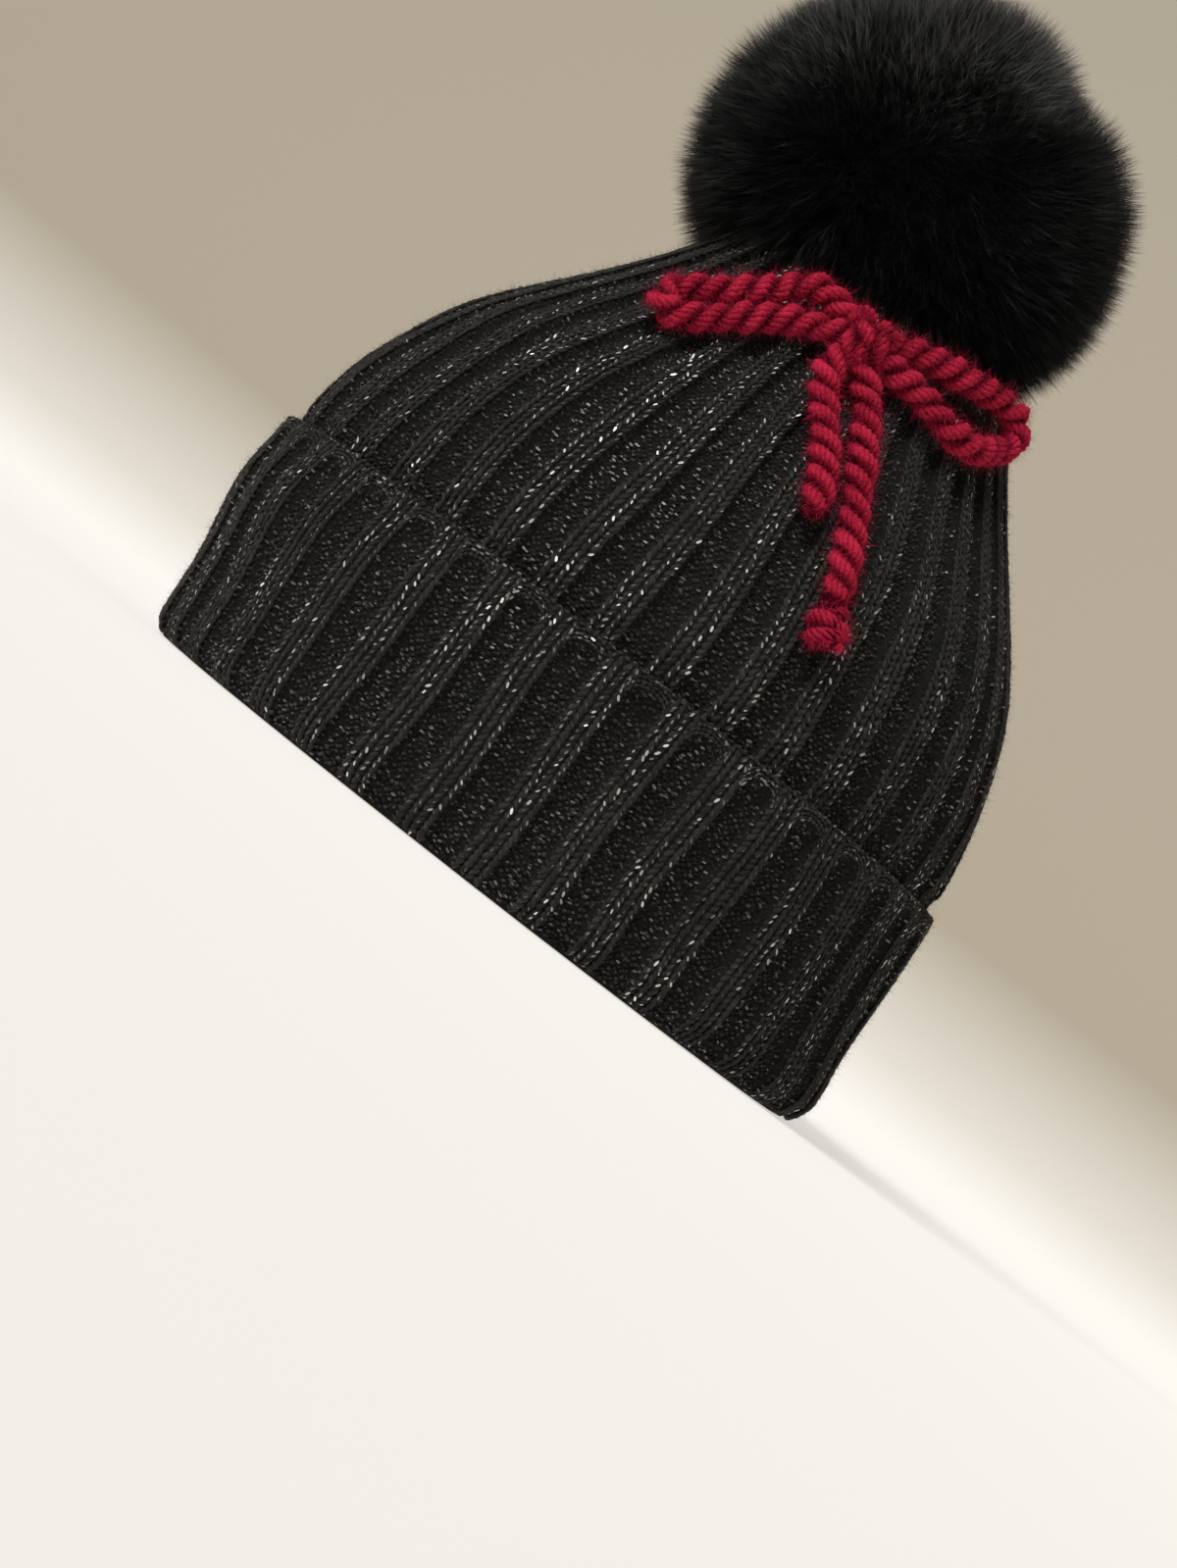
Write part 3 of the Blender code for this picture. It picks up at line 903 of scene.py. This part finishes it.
def bump_stitches(wall, runs, row):
    """The bumps of purl stitches in and beside the valleys, every other column half a row higher."""
    turn, run = np.meshgrid(wall.turns_of(VALLEY_BUMPS), runs, indexing="ij")
    steps = [0.5 * row * (number % 2) for _ in range(RIB_COUNT) for number in range(len(VALLEY_BUMPS))]
    ends = np.tile(wall.valley_end(np.array(VALLEY_BUMPS)), RIB_COUNT)
    noise = np.random.default_rng(len(runs))
    run = run + np.array(steps)[:, None] + noise.normal(0.0, BUMP_STRAY_UP * row, run.shape)
    turn = turn + noise.normal(0.0, BUMP_STRAY_ASIDE / RIB_COUNT, turn.shape)
    here, _, side, out = wall.lie(turn, run)
    share = wall.girth_share(run)
    size = noise.uniform(*BUMP_SIZES, share.shape)
    squeeze = np.stack((narrowed(share), size, size * share), axis=-1)
    tones = np.where(run < ends[:, None] - BUMP_END_GAP * row, BUMP_TONE, ABSENT)
    sink = LOOP_SINK + noise.uniform(0.0, BUMP_STRAY_DEPTH, share.shape)
    return flat(here - out * sink[..., None], side, out, squeeze, tones)


def edge_stitches(wall):
    """Lines of yarn round the end of each valley of the cuff, and a chain along the cuff's top edge."""
    swing = np.sin(np.linspace(-math.pi / 2, math.pi / 2, ARCH_POINTS))
    pitch = 2 * math.pi * max(row.half_width for row in CUFF_SECTIONS) / RIB_COUNT
    parts = []
    for line_out in ARCH_LINES:
        half = 0.5 - RIB_EDGE + line_out / pitch * ARCH_SIDE_SHARE
        run = wall.valley_end(0.5 + (0.5 - RIB_EDGE) * swing) + line_out
        line = np.column_stack(((0.5 + half * swing) * pitch, run, np.zeros(ARCH_POINTS)))
        line = even_points(line, ARCH_STITCH) / (pitch, 1.0, 1.0)
        turn = np.array([wall.turn_of(rib, line[:, 0]) for rib in range(RIB_COUNT)])
        run = np.broadcast_to(line[:, 1], turn.shape)
        points = wall.place(turn, run)
        lie = unit(points[:, 1:] - points[:, :-1])
        here, _, _, out = wall.lie((turn[:, 1:] + turn[:, :-1]) / 2, (run[:, 1:] + run[:, :-1]) / 2)
        parts.append((here, lie, out))
    chain = RIB_COUNT * CHAIN_PER_RIB
    turn = (np.arange(chain)[:, None] + 0.5) / chain
    here, up, side, out = wall.lie(turn, np.full_like(turn, wall.length - CHAIN_DROP))
    lie = unit(side + up * (CHAIN_LEAN * (-1.0) ** np.arange(chain))[:, None, None])
    parts.append((here, lie, out))
    return [
        flat(here - out * LOOP_SINK, lie, out, np.ones_like(here), np.full(here.shape[:2], LEG_TONE))
        for here, lie, out in parts
    ]


def silvered(stitches, columns, seed, silver):
    """The silver thread on columns of stitches. Its tone sets how bright each piece is painted: a painted
    glint.
    """
    noise = np.random.default_rng(seed)
    rows = len(stitches.points) // columns
    turn = noise.random((columns, 1)) + noise.uniform(*THREAD_TURNS, (columns, 1)) * np.arange(rows)
    stretch = 1 - silver.swing + silver.swing * np.cos(2 * math.pi * turn)
    show = silver.strength * (stretch * noise.beta(*THREAD_SPREAD, (columns, rows))).ravel()
    squeeze = stitches.squeeze * (THREAD_LEAST_SIZE + THREAD_SIZE_GAIN * show)[:, None]
    aside = np.cross(stitches.lie, stitches.face)
    shift = aside * noise.normal(0.0, THREAD_STRAY_ASIDE, (len(show), 1))
    shift = shift + stitches.lie * noise.normal(0.0, THREAD_STRAY_ALONG, (len(show), 1))
    points = stitches.points + stitches.face * THREAD_RISE + shift
    thread = stitches._replace(points=points, squeeze=squeeze, tone=show)
    return only(thread, (show > silver.least) & (stitches.tone > ABSENT))


# Plied yarn

def carried_frames(points):
    """Directions across a line, carried along it without twist. The first is level, unless the line starts
    nearly upright."""
    ahead = unit(np.gradient(points, axis=0))
    across = np.cross(ahead[0], (0.0, 0.0, 1.0))
    if np.linalg.norm(across) < NEARLY_UPRIGHT:
        across = np.cross(ahead[0], (0.0, 1.0, 0.0))
    firsts = []
    for way in ahead:
        across = across - way * np.dot(across, way)
        across = across / np.linalg.norm(across)
        firsts.append(across)
    firsts = np.array(firsts)
    return firsts, np.cross(ahead, firsts)


def twisted(points, count, reach, turn_length, start=0.0):
    """The middle lines of that many plies wound round a line. A positive turn winds them like a Z. reach is
    one distance or one for each point."""
    first, second = carried_frames(points)
    along = running_sum(step_lengths(points))
    reach = np.broadcast_to(reach, along.shape)[:, None]
    lines = []
    for number in range(count):
        angle = start + 2 * math.pi * (number / count - along / turn_length)
        lines.append(points + reach * (first * np.cos(angle)[:, None] + second * np.sin(angle)[:, None]))
    return lines


def strands_of(line, start):
    return twisted(line, STRAND_COUNT, STRAND_REACH, STRAND_TURN, start)


def cord_strands(points, start):
    """The strands of a cord: plies wound one way, of strands wound the other way, closing at the ends."""
    steps = np.arange(len(points))
    along = steps * CORD_STEP
    ends = np.clip(np.minimum(steps, steps[::-1]) * CORD_STEP / CORD_ROUNDING, 0.0, 1.0)
    slack = 1 + sum(share * np.sin(along * pace + start * part) for share, pace, part in PLY_SLACK)
    reach = PLY_REACH * slack * np.sqrt(1 - (1 - ends) ** 2)
    strands = []
    for number, ply in enumerate(twisted(points, PLY_COUNT, reach, PLY_TURN, start)):
        strands.extend(strands_of(ply, number * PLY_START))
    return strands


def tube(points, radii):
    """Points and faces of a strand along a line, closed at both ends."""
    first, second = carried_frames(points)
    angles = (np.arange(STRAND_SIDES) * 2 * math.pi / STRAND_SIDES)[None, :, None]
    around = first[:, None, :] * np.cos(angles) + second[:, None, :] * np.sin(angles)
    rings = points[:, None, :] + radii[:, None, None] * around
    corners = np.vstack((rings.reshape(-1, 3), points[0], points[-1]))
    faces = ring_faces(len(points), STRAND_SIDES)
    head = len(points) * STRAND_SIDES
    last = head - STRAND_SIDES
    for i, j in neighbours(STRAND_SIDES):
        faces.append((j, i, head))
        faces.append((last + i, last + j, head + 1))
    return corners, faces


def yarn_mesh(name, lines, radius, finish, middle):
    """One mesh of strands along their middle lines, rounded off over their last few steps. Its attribute
    crest grows from the cord's middle line, 0, to where the strands reach their farthest from it, 1; the
    yarn is painted darker towards 0, as painted shade in the grooves between plies."""
    all_points = []
    all_faces = []
    count = 0
    for number, line in enumerate(lines):
        steps = np.arange(len(line))
        ends = np.minimum(steps, steps[::-1]) / ROUNDED_STEPS
        radii = radius * np.sqrt(np.clip(STRAND_TIP + (1 - STRAND_TIP) * ends, 0.0, 1.0))
        swell = np.sin(steps * STRAND_SWELL_PACE + number * STRAND_SWELL_SHIFT)
        points, faces = tube(line, radii * (1 + STRAND_SWELL * swell))
        all_points.append(points)
        all_faces.extend(tuple(corner + count for corner in face) for face in faces)
        count += len(points)
    points = np.vstack(all_points)
    # Painted shade: how far each point lies from the middle line, which the yarn's colour darkens by.
    away = np.array([np.linalg.norm(middle - point, axis=1).min() for point in points])
    mesh = mesh_of(name, points, all_faces, finish)
    crest = mesh.attributes.new("crest", "FLOAT", "POINT")
    crest.data.foreach_set("value", floats(away / CORD_REACH))
    return mesh


# Materials

def new_material(name, roughness, **sockets):
    """A material with its shader. Values that are the same all over sit on the shader's own sockets."""
    material = bpy.data.materials.new(name)
    material.use_nodes = True
    shader = material.node_tree.nodes["Principled BSDF"]
    shader.inputs["Roughness"].default_value = roughness
    for label, value in sockets.items():
        shader.inputs[label.replace("_", " ")].default_value = value
    return material, material.node_tree, shader


def colour_ramp(tree, factor, stops):
    node = add_node(tree, "ShaderNodeValToRGB", {"Fac": factor})
    ramp = node.color_ramp
    for _ in range(len(stops) - 2):
        ramp.elements.new(0.5)
    for element, (position, colour) in zip(ramp.elements, stops):
        element.position = position
        element.color = (*colour, 1.0)
    return node.outputs["Color"]


def colour_by(tree, shader, factor, *stops):
    tree.links.new(colour_ramp(tree, factor, stops), shader.inputs["Base Color"])


def on_object(tree):
    return add_node(tree, "ShaderNodeTexCoord").outputs["Object"]


def attribute_value(tree, name):
    return add_node(tree, "ShaderNodeAttribute", attribute_name=name).outputs["Fac"]


def blended(tree, first, first_share, second, second_share):
    """The sum of two tones, each by its share."""
    second = math_node(tree, "MULTIPLY", second, second_share)
    return math_node(tree, "MULTIPLY_ADD", first, first_share, second)


def add_bump(tree, shader, height, strength, distance):
    bump = add_node(tree, "ShaderNodeBump", {"Height": height, "Strength": strength, "Distance": distance})
    tree.links.new(bump.outputs[0], shader.inputs["Normal"])


def fibres_group():
    """Fine fibres on larger soft patches. Tone is both together, and Fibres the fibres alone."""
    group = bpy.data.node_groups.new("wool_fibres", "ShaderNodeTree")
    add_sockets(group, "INPUT", {"Float": ("Fibre Scale", "Patch Scale", "Patch Share")})
    add_sockets(group, "OUTPUT", {"Float": ("Tone", "Fibres")})
    given = add_node(group, "NodeGroupInput").outputs
    where = on_object(group)
    fibres = noise_at(group, where, given["Fibre Scale"], detail=3.0)["Fac"]
    patches = noise_at(group, where, given["Patch Scale"], detail=2.0)["Fac"]
    over = math_node(group, "SUBTRACT", patches, fibres)
    tone = math_node(group, "MULTIPLY_ADD", over, given["Patch Share"], fibres)
    add_node(group, "NodeGroupOutput", {"Tone": tone, "Fibres": fibres})
    return group


def wool_fibres(tree, fibre_scale, patch_scale, patch_share):
    """The shared fibres, placed in a material with its own sizes."""
    group = bpy.data.node_groups.get("wool_fibres") or fibres_group()
    sizes = {"Fibre Scale": fibre_scale, "Patch Scale": patch_scale, "Patch Share": patch_share}
    placed = add_node(tree, "ShaderNodeGroup", sizes, node_tree=group)
    return placed.outputs["Tone"], placed.outputs["Fibres"]


def knit_material():
    """Charcoal wool: each stitch a little lighter or darker, with fine fibres and a faint bloom."""
    material, tree, shader = new_material(
        "charcoal_wool",
        roughness=0.9,
        Sheen_Weight=0.03,
        Sheen_Roughness=0.6,
        Sheen_Tint=(0.75, 0.74, 0.66, 1.0),
        Specular_IOR_Level=0.20,
    )
    wool, fibres = wool_fibres(tree, fibre_scale=2600.0, patch_scale=45.0, patch_share=0.5)
    tone = blended(tree, wool, 0.4, attribute_value(tree, "shade"), 0.6)
    colour_by(
        tree,
        shader,
        tone,
        (0.15, (0.0064, 0.0065, 0.0062)),
        (0.5, (0.0155, 0.0155, 0.0148)),
        (0.95, (0.042, 0.0415, 0.038)),
    )
    add_bump(tree, shader, fibres, strength=0.5, distance=0.0003)
    return material


def shaded_backing_material():
    """The knit between and behind the loops, painted darker than them as shade in their gaps, with a fine
    ribbing of rows.
    """
    material, tree, shader = new_material("charcoal_shaded_backing", roughness=0.95, Specular_IOR_Level=0.15)
    wool, _ = wool_fibres(tree, fibre_scale=900.0, patch_scale=45.0, patch_share=0.2)
    # Painted shade: darker than the loops' wool, for the gaps between and behind them.
    colour_by(tree, shader, wool, (0.3, (0.0068, 0.0068, 0.0065)), (0.75, (0.0145, 0.0144, 0.0136)))
    sizes = {"Scale": 180.0, "Distortion": 3.0, "Detail": 1.0, "Detail Scale": 40.0}
    rows = add_node(tree, "ShaderNodeTexWave", {"Vector": on_object(tree), **sizes}, bands_direction="Z")
    add_bump(tree, shader, rows.outputs["Fac"], strength=0.6, distance=0.0006)
    return material


def silver_material():
    """Metallic thread with painted glints: its colour runs from dark grey to near white by each piece's
    shade, as if some of it were caught full on by the light and some turned away.
    """
    material, tree, shader = new_material("silver_thread", roughness=0.58, Metallic=1.0)
    # Painted glints: the thread's colour goes from dark grey to near white by its shade.
    colour_by(
        tree,
        shader,
        attribute_value(tree, "shade"),
        (0.12, (0.062, 0.062, 0.060)),
        (0.40, (0.24, 0.24, 0.23)),
        (0.70, (0.58, 0.58, 0.56)),
        (0.92, (0.92, 0.92, 0.89)),
    )
    _, fibres = wool_fibres(tree, fibre_scale=3000.0, patch_scale=45.0, patch_share=0.0)
    add_bump(tree, shader, fibres, strength=0.4, distance=0.0002)
    return material


def fuzz_material(name, colour):
    """Loose fibres, each a little lighter or darker."""
    material, tree, shader = new_material(name, roughness=0.85, Specular_IOR_Level=0.08)
    dark = tuple(0.5 * value for value in colour)
    colour_by(tree, shader, attribute_value(tree, "shade"), (0.0, dark), (1.0, colour))
    return material


def fur_material():
    """Black fur: black at the roots, and painted darker towards them as shade down among the hairs, with
    cold grey tips on some hairs, a painted sheen, most of them near the upper left, facing the key light.
    """
    material, tree, shader = new_material("black_fur", roughness=0.50, Specular_IOR_Level=0.32)
    # Painted sheen: tips are painted paler within reach of a place on the upper left, facing the key light.
    away = vector_math(tree, "LENGTH", vector_math(tree, "SUBTRACT", on_object(tree), PAINTED_SHEEN_FROM))
    painted_sheen = math_node(tree, "SUBTRACT", 1.0, math_node(tree, "DIVIDE", away, PAINTED_SHEEN_REACH))
    painted_sheen = math_node(tree, "MAXIMUM", painted_sheen, 0.0)
    shade = attribute_value(tree, "shade")
    plain = math_node(tree, "MULTIPLY_ADD", shade, TONE_BY_HAIR, TONE_LEAST)
    sheen_tone = math_node(tree, "MULTIPLY_ADD", shade, PAINTED_SHEEN_BY_HAIR, PAINTED_SHEEN_LEAST)
    tone = math_node(tree, "MULTIPLY_ADD", painted_sheen, sheen_tone, plain)
    # Painted shade: each hair is darker towards its root, down in the dense fur.
    tip = math_node(tree, "POWER", attribute_value(tree, "rise"), ROOT_SHADE_SHARPNESS)
    colour_by(
        tree,
        shader,
        math_node(tree, "MULTIPLY", tip, tone),
        (0.0, (0.0015, 0.0015, 0.0016)),
        (0.5, (0.0056, 0.0054, 0.0056)),
        (0.8, (0.0200, 0.0200, 0.0208)),
        (1.0, (0.1200, 0.1230, 0.1200)),
    )
    return material


def yarn_material():
    """Crimson wool, painted darker between the plies as shade in their grooves, and darker in its fibres'
    hollows.
    """
    material, tree, shader = new_material(
        "crimson_wool",
        roughness=0.85,
        Sheen_Weight=0.05,
        Sheen_Roughness=0.5,
        Sheen_Tint=(1.0, 0.08, 0.20, 1.0),
        Specular_IOR_Level=0.06,
    )
    wool, fibres = wool_fibres(tree, fibre_scale=1700.0, patch_scale=160.0, patch_share=0.35)
    # Painted shade: darker where strands lie near the cord's middle, in the grooves between the plies.
    tone = blended(tree, wool, 0.70, attribute_value(tree, "crest"), 0.55)
    colour_by(
        tree,
        shader,
        tone,
        (0.45, (0.028, 0.0006, 0.0026)),
        (0.70, (0.17, 0.0032, 0.0160)),
        (0.92, (0.48, 0.0195, 0.0540)),
    )
    add_bump(tree, shader, fibres, strength=0.8, distance=0.0005)
    return material


def studio_material():
    """Pale, a little warmer and darker up the wall, and partly lit from within, so that no edge shows."""
    material, tree, shader = new_material(
        "pale_studio", roughness=0.95, Specular_IOR_Level=0.0, Emission_Strength=STUDIO_GLOW
    )
    _, _, height = split(tree, on_object(tree))
    stops = (
        (0.0, (0.96, 0.935, 0.89)),
        (0.035, (0.73, 0.69, 0.62)),
        (0.13, (0.415, 0.363, 0.283)),
        (1.0, (0.400, 0.356, 0.285)),
    )
    tint = colour_ramp(tree, math_node(tree, "DIVIDE", height, WALL_SHADE_HEIGHT), stops)
    tree.links.new(tint, shader.inputs["Emission Color"])
    tree.links.new(vector_math(tree, "SCALE", tint, STUDIO_PALENESS), shader.inputs["Base Color"])
    return material


# Pieces

def make_knit(loops, fur):
    """The crown and the cuff: their backing walls, stitches, silver threads and fuzz."""
    wool = knit_material()
    # The backing is painted darker than the loops, as shade in the gaps between them.
    backing = shaded_backing_material()
    crown = Wall(CROWN_SECTIONS, CROWN_RIB_SHIFT, arched=False)
    cuff = Wall(CUFF_SECTIONS, CUFF_RIB_SHIFT, arched=True)
    crown_wall = add_piece("crown_wall", make_crown_wall(crown, backing), ("crown",))
    cuff_wall = add_piece("cuff_wall", make_cuff_wall(cuff, backing), ("cuff",))
    crown_runs = np.arange(crown.run_at(CROWN_FIRST_ROW), crown.run_at(CROWN_LAST_ROW), CROWN_ROW)
    cuff_runs = np.arange(CUFF_FIRST_RUN, cuff.length - CUFF_LAST_GAP, CUFF_ROW)
    glints = []
    for name, wall, runs, row, tilt, seed in (
        ("crown", crown, crown_runs, CROWN_ROW, LEG_TILT, CROWN_SEED),
        ("cuff", cuff, cuff_runs, CUFF_ROW, -LEG_TILT, CUFF_SEED),
    ):
        legs = leg_stitches(wall, runs, tilt)
        bumps = bump_stitches(wall, runs, row)
        make_loops(name + "_rib_loops", legs, loops, LEG, wool, seed + 1)
        make_loops(name + "_valley_loops", bumps, loops, BUMP, wool, seed + 3)
        glints.append(silvered(legs, RIB_COUNT * len(RIB_LEGS), seed + 4, LEG_SILVER))
        glints.append(silvered(bumps, RIB_COUNT * len(VALLEY_BUMPS), seed + 5, BUMP_SILVER))
    edges = edge_stitches(cuff)
    for number, line in enumerate(edges):
        glints.append(silvered(line, RIB_COUNT, EDGE_SILVER_SEED + number, EDGE_SILVER))
    make_loops("cuff_edge_yarn", joined(edges), loops, EDGE, wool, EDGE_SEED)
    make_loops("silver_glints", joined(glints), loops, THREAD, silver_material(), THREAD_SEED)
    fuzz = {**FUZZ, "Hair": fuzz_material("charcoal_fuzz", (0.070, 0.068, 0.061))}
    for name, piece, lowest, seed in (
        ("crown_fuzz", crown_wall, CROWN_FUZZ_FROM, CROWN_FUZZ_SEED),
        ("cuff_fuzz", cuff_wall, CUFF_FUZZ_FROM, CUFF_FUZZ_SEED),
    ):
        add_grown(name, outer_faces(piece.data, lowest), fur, {**fuzz, "Seed": seed})


def outer_faces(wall, lowest):
    """The outward side of a wall above a height."""
    def is_outer(face):
        away = face.center - HAT_MIDDLE
        away.z *= OUTWARD_UP_SHARE
        return face.normal.dot(away) > OUTWARD_LEAST and lowest < face.center.z < FUZZ_TOP

    return some_faces("outer_faces", wall, is_outer)


def parting(way):
    """How deep the ball is pressed in along a way out of its middle, for the parting in the fur."""
    place = math.atan2(way.x, way.z)
    across = math.exp(-((place - PARTING_PLACE) / PARTING_WIDTH) ** 2)
    along = max(0.0, 1.0 - max(way.y, -PARTING_FRONT_SHARE * way.y) ** 2) if way.z > 0 else 0.0
    return PARTING_DEPTH * across * along


def crown_top(x, y):
    """The height of the crown under a place near the hat's axis."""
    from_top = CROWN_SECTIONS[::-1]
    shoulder = from_top[CROWN_SHOULDER]
    away = math.hypot(x - from_top[0].centre_x, y * shoulder.half_width / shoulder.half_depth)
    return np.interp(away, [row.half_width for row in from_top], [row.height for row in from_top])


def make_pompom(fur):
    """A dark ball with fur grown on it wherever it doesn't touch the crown, inside the pompom's own box."""
    black = fur_material()
    low, high = (Vector(corner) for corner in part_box("pompom"))
    centre = (low + high) / 2
    centre.z = low.z + (high.z - low.z) * BALL_MIDDLE
    reach = (high.y - low.y) / 2 * BALL_REACH
    ball = bpy.data.meshes.new("pompom_ball")
    work = bmesh.new()
    bmesh.ops.create_icosphere(work, subdivisions=BALL_SUBDIVISIONS, radius=1.0)
    seated = set()
    for vert in work.verts:
        way = vert.co.normalized()
        point = centre + Vector((way.x * reach, way.y * reach, way.z * BALL_RISE)) - way * parting(way)
        seat = crown_top(point.x, point.y) + BALL_GAP
        if point.z < seat:
            seated.add(vert.index)
            point.z = seat
        vert.co = point
    work.to_mesh(ball)
    work.free()
    # The ball takes the fur's root colour, the darkest painted shade deep in the fur.
    ball.materials.append(black)
    ball.shade_smooth()
    add_piece("pompom_ball", ball, ("pompom",))
    scalp = some_faces("pompom_scalp", ball, lambda face: not seated.issuperset(face.vertices))
    add_grown("pompom_under_fur", scalp, fur, {**UNDER_FUR, "Hair": black, "Seed": FUR_SEED})
    add_grown("pompom_guard_fur", scalp, fur, {**GUARD_FUR, "Hair": black, "Seed": FUR_SEED})


def knotted_route(name, route):
    """A route led on into the knot, at its start and, for a loop, at its end too."""
    knot = box_middle("bow_knot")
    route = np.array(route)
    points = [route[:1] + (knot - route[:1]) * KNOT_DEPTH, route]
    if "loop" in name:
        points.append(route[-1:] + (knot - route[-1:]) * KNOT_DEPTH)
    return np.vstack(points)


def make_bow(fur):
    """The bow: its knots, the cords of its loops and tails, and fuzz on them all."""
    wool = yarn_material()
    knot = make_knot(wool)
    tail_end = make_tail_end(wool)
    cords = []
    for number, (name, route) in enumerate(BOW_ROUTES.items()):
        path = even_points(smooth_points(knotted_route(name, route), ROUTE_STEPS), CORD_STEP)
        mesh = yarn_mesh(name + "_yarn", cord_strands(path, number * CORD_START), STRAND_RADIUS, wool, path)
        cord = add_piece(name + "_yarn", mesh, (name,))
        cords.append(cord)
    base = bpy.data.meshes.new("bow_surface")
    work = bmesh.new()
    for piece in cords + [knot, tail_end]:
        work.from_mesh(piece.data)
    work.to_mesh(base)
    work.free()
    crimson = fuzz_material("crimson_fuzz", (0.52, 0.022, 0.075))
    add_grown("bow_fuzz", base, fur, {**BOW_FUZZ, "Hair": crimson, "Seed": BOW_FUZZ_SEED})


def ring_points(centre, first, second):
    """A closed round line, from its centre and two half axes."""
    angles = np.linspace(0.0, 2 * math.pi, RING_STEPS)[:, None]
    return even_points(centre + np.cos(angles) * first + np.sin(angles) * second, CORD_STEP)


def make_knot(wool):
    """Two wraps of the cord over the middle of the bow, one across the other."""
    centre = box_middle("bow_knot")
    out = unit(np.array(KNOT_OUT))
    across = np.array((1.0, 0.0, 0.0))
    lines = []
    rings = []
    for number, (shift, lean) in enumerate(KNOT_WRAPS):
        slope = unit(np.array(KNOT_DOWN) + across * lean)
        middle = centre + across * shift + out * KNOT_RISE
        ring = ring_points(middle, out * KNOT_HALF_DEPTH, slope * KNOT_HALF_HEIGHT)
        rings.append(ring)
        lines.extend(cord_strands(ring, number * WRAP_START))
    mesh = yarn_mesh("bow_knot_yarn", lines, STRAND_RADIUS, wool, np.vstack(rings))
    return add_piece("bow_knot_yarn", mesh, ("bow_knot",))


def frayed_strand(noise, from_point, down, across, out):
    """A cut strand's end, which leaves a knot downwards and curls back in."""
    angle = noise.uniform(0.0, 2 * math.pi)
    side = across * math.cos(angle) + out * math.sin(angle)
    turn = across * math.sin(angle) - out * math.cos(angle)
    start = from_point + side * noise.uniform(*FRAY_SPREAD)
    middle = start + down * noise.uniform(*FRAY_DOWN) + side * FRAY_FLARE
    middle = middle + turn * noise.uniform(*FRAY_SWERVE)
    end = middle + down * noise.uniform(*FRAY_TIP_DOWN) - side * noise.uniform(*FRAY_TIP_IN)
    return even_points(smooth_points((start, middle, end), FRAY_STEPS), CORD_STEP)


def make_tail_end(wool):
    """The knot that ends the long tail: turns of the cord's strands, and under them their cut ends."""
    centre = box_middle("bow_tail_end")
    route = np.array(BOW_ROUTES["bow_tail_long"])
    down = unit(route[-1] - route[-3])
    out = unit(np.array(TAIL_END_OUT))
    across = unit(np.cross(down, out))
    lines = []
    rings = []
    for shift, size, lean, start in TAIL_END_TURNS:
        ring = ring_points(centre + down * shift, out * size, unit(across + down * lean) * size)
        # The line that the painted shade is measured from lies halfway in from each turn to its middle.
        rings.append((ring + centre + down * shift) / 2)
        lines.extend(strands_of(ring, start))
    noise = np.random.default_rng(FRAY_SEED)
    fray_from = centre + down * FRAY_FROM
    lines += [frayed_strand(noise, fray_from, down, across, out) for _ in range(FRAY_COUNT)]
    mesh = yarn_mesh("bow_tail_end_yarn", lines, TAIL_END_RADIUS, wool, np.vstack(rings))
    return add_piece("bow_tail_end_yarn", mesh, ("bow_tail_end",))


# Studio

def make_lights():
    """The main light from the upper left and front, as in the photograph, and the fill."""
    light = bpy.data.lights.new("key", "SUN")
    light.energy = KEY_STRENGTH
    light.angle = KEY_SPREAD
    light.color = KEY_COLOUR
    add_object("key", light).rotation_euler = (-KEY_FROM).to_track_quat("-Z", "Y").to_euler()
    world = bpy.data.worlds.new("studio")
    bpy.context.scene.world = world
    world.use_nodes = True
    fill = world.node_tree.nodes["Background"]
    fill.inputs["Color"].default_value = FILL_COLOUR
    fill.inputs["Strength"].default_value = FILL_STRENGTH
    bpy.context.scene.view_settings.view_transform = "Standard"


def make_studio():
    """A round pale floor that curves up into a wall all round."""
    profile = [(FLOOR_RADIUS * step / FLOOR_STEPS, 0.0) for step in range(1, FLOOR_STEPS + 1)]
    for step in range(1, COVE_STEPS + 1):
        angle = math.pi / 2 * step / COVE_STEPS
        profile.append((FLOOR_RADIUS + COVE_RADIUS * math.sin(angle), COVE_RADIUS * (1 - math.cos(angle))))
    points = [(0.0, 0.0, 0.0)]
    for radius, height in profile:
        for side in range(STUDIO_SIDES):
            angle = 2 * math.pi * side / STUDIO_SIDES
            points.append((radius * math.cos(angle), radius * math.sin(angle), height))
    faces = [(0, 1 + i, 1 + j) for i, j in neighbours(STUDIO_SIDES)]
    faces += [face[::-1] for face in ring_faces(len(profile), STUDIO_SIDES, 1)]
    add_object("studio_floor", mesh_of("studio_floor", points, faces, studio_material()))


def make_camera():
    data = bpy.data.cameras.new("camera")
    data.lens = CAMERA_LENS
    data.sensor_width = CAMERA_SENSOR
    data.clip_start = CAMERA_NEAREST
    camera = add_object("camera", data)
    back = (CAMERA_PLACE - CAMERA_AIM).normalized()
    right = CAMERA_UP.cross(back).normalized()
    up = back.cross(right)
    camera.matrix_world = Matrix.Translation(CAMERA_PLACE) @ Matrix((right, up, back)).transposed().to_4x4()
    bpy.context.scene.camera = camera


def main():
    make_camera()
    make_studio()
    make_lights()
    loops = loops_tree()
    fur = fur_tree()
    make_bow(fur)
    make_knit(loops, fur)
    make_pompom(fur)


main()
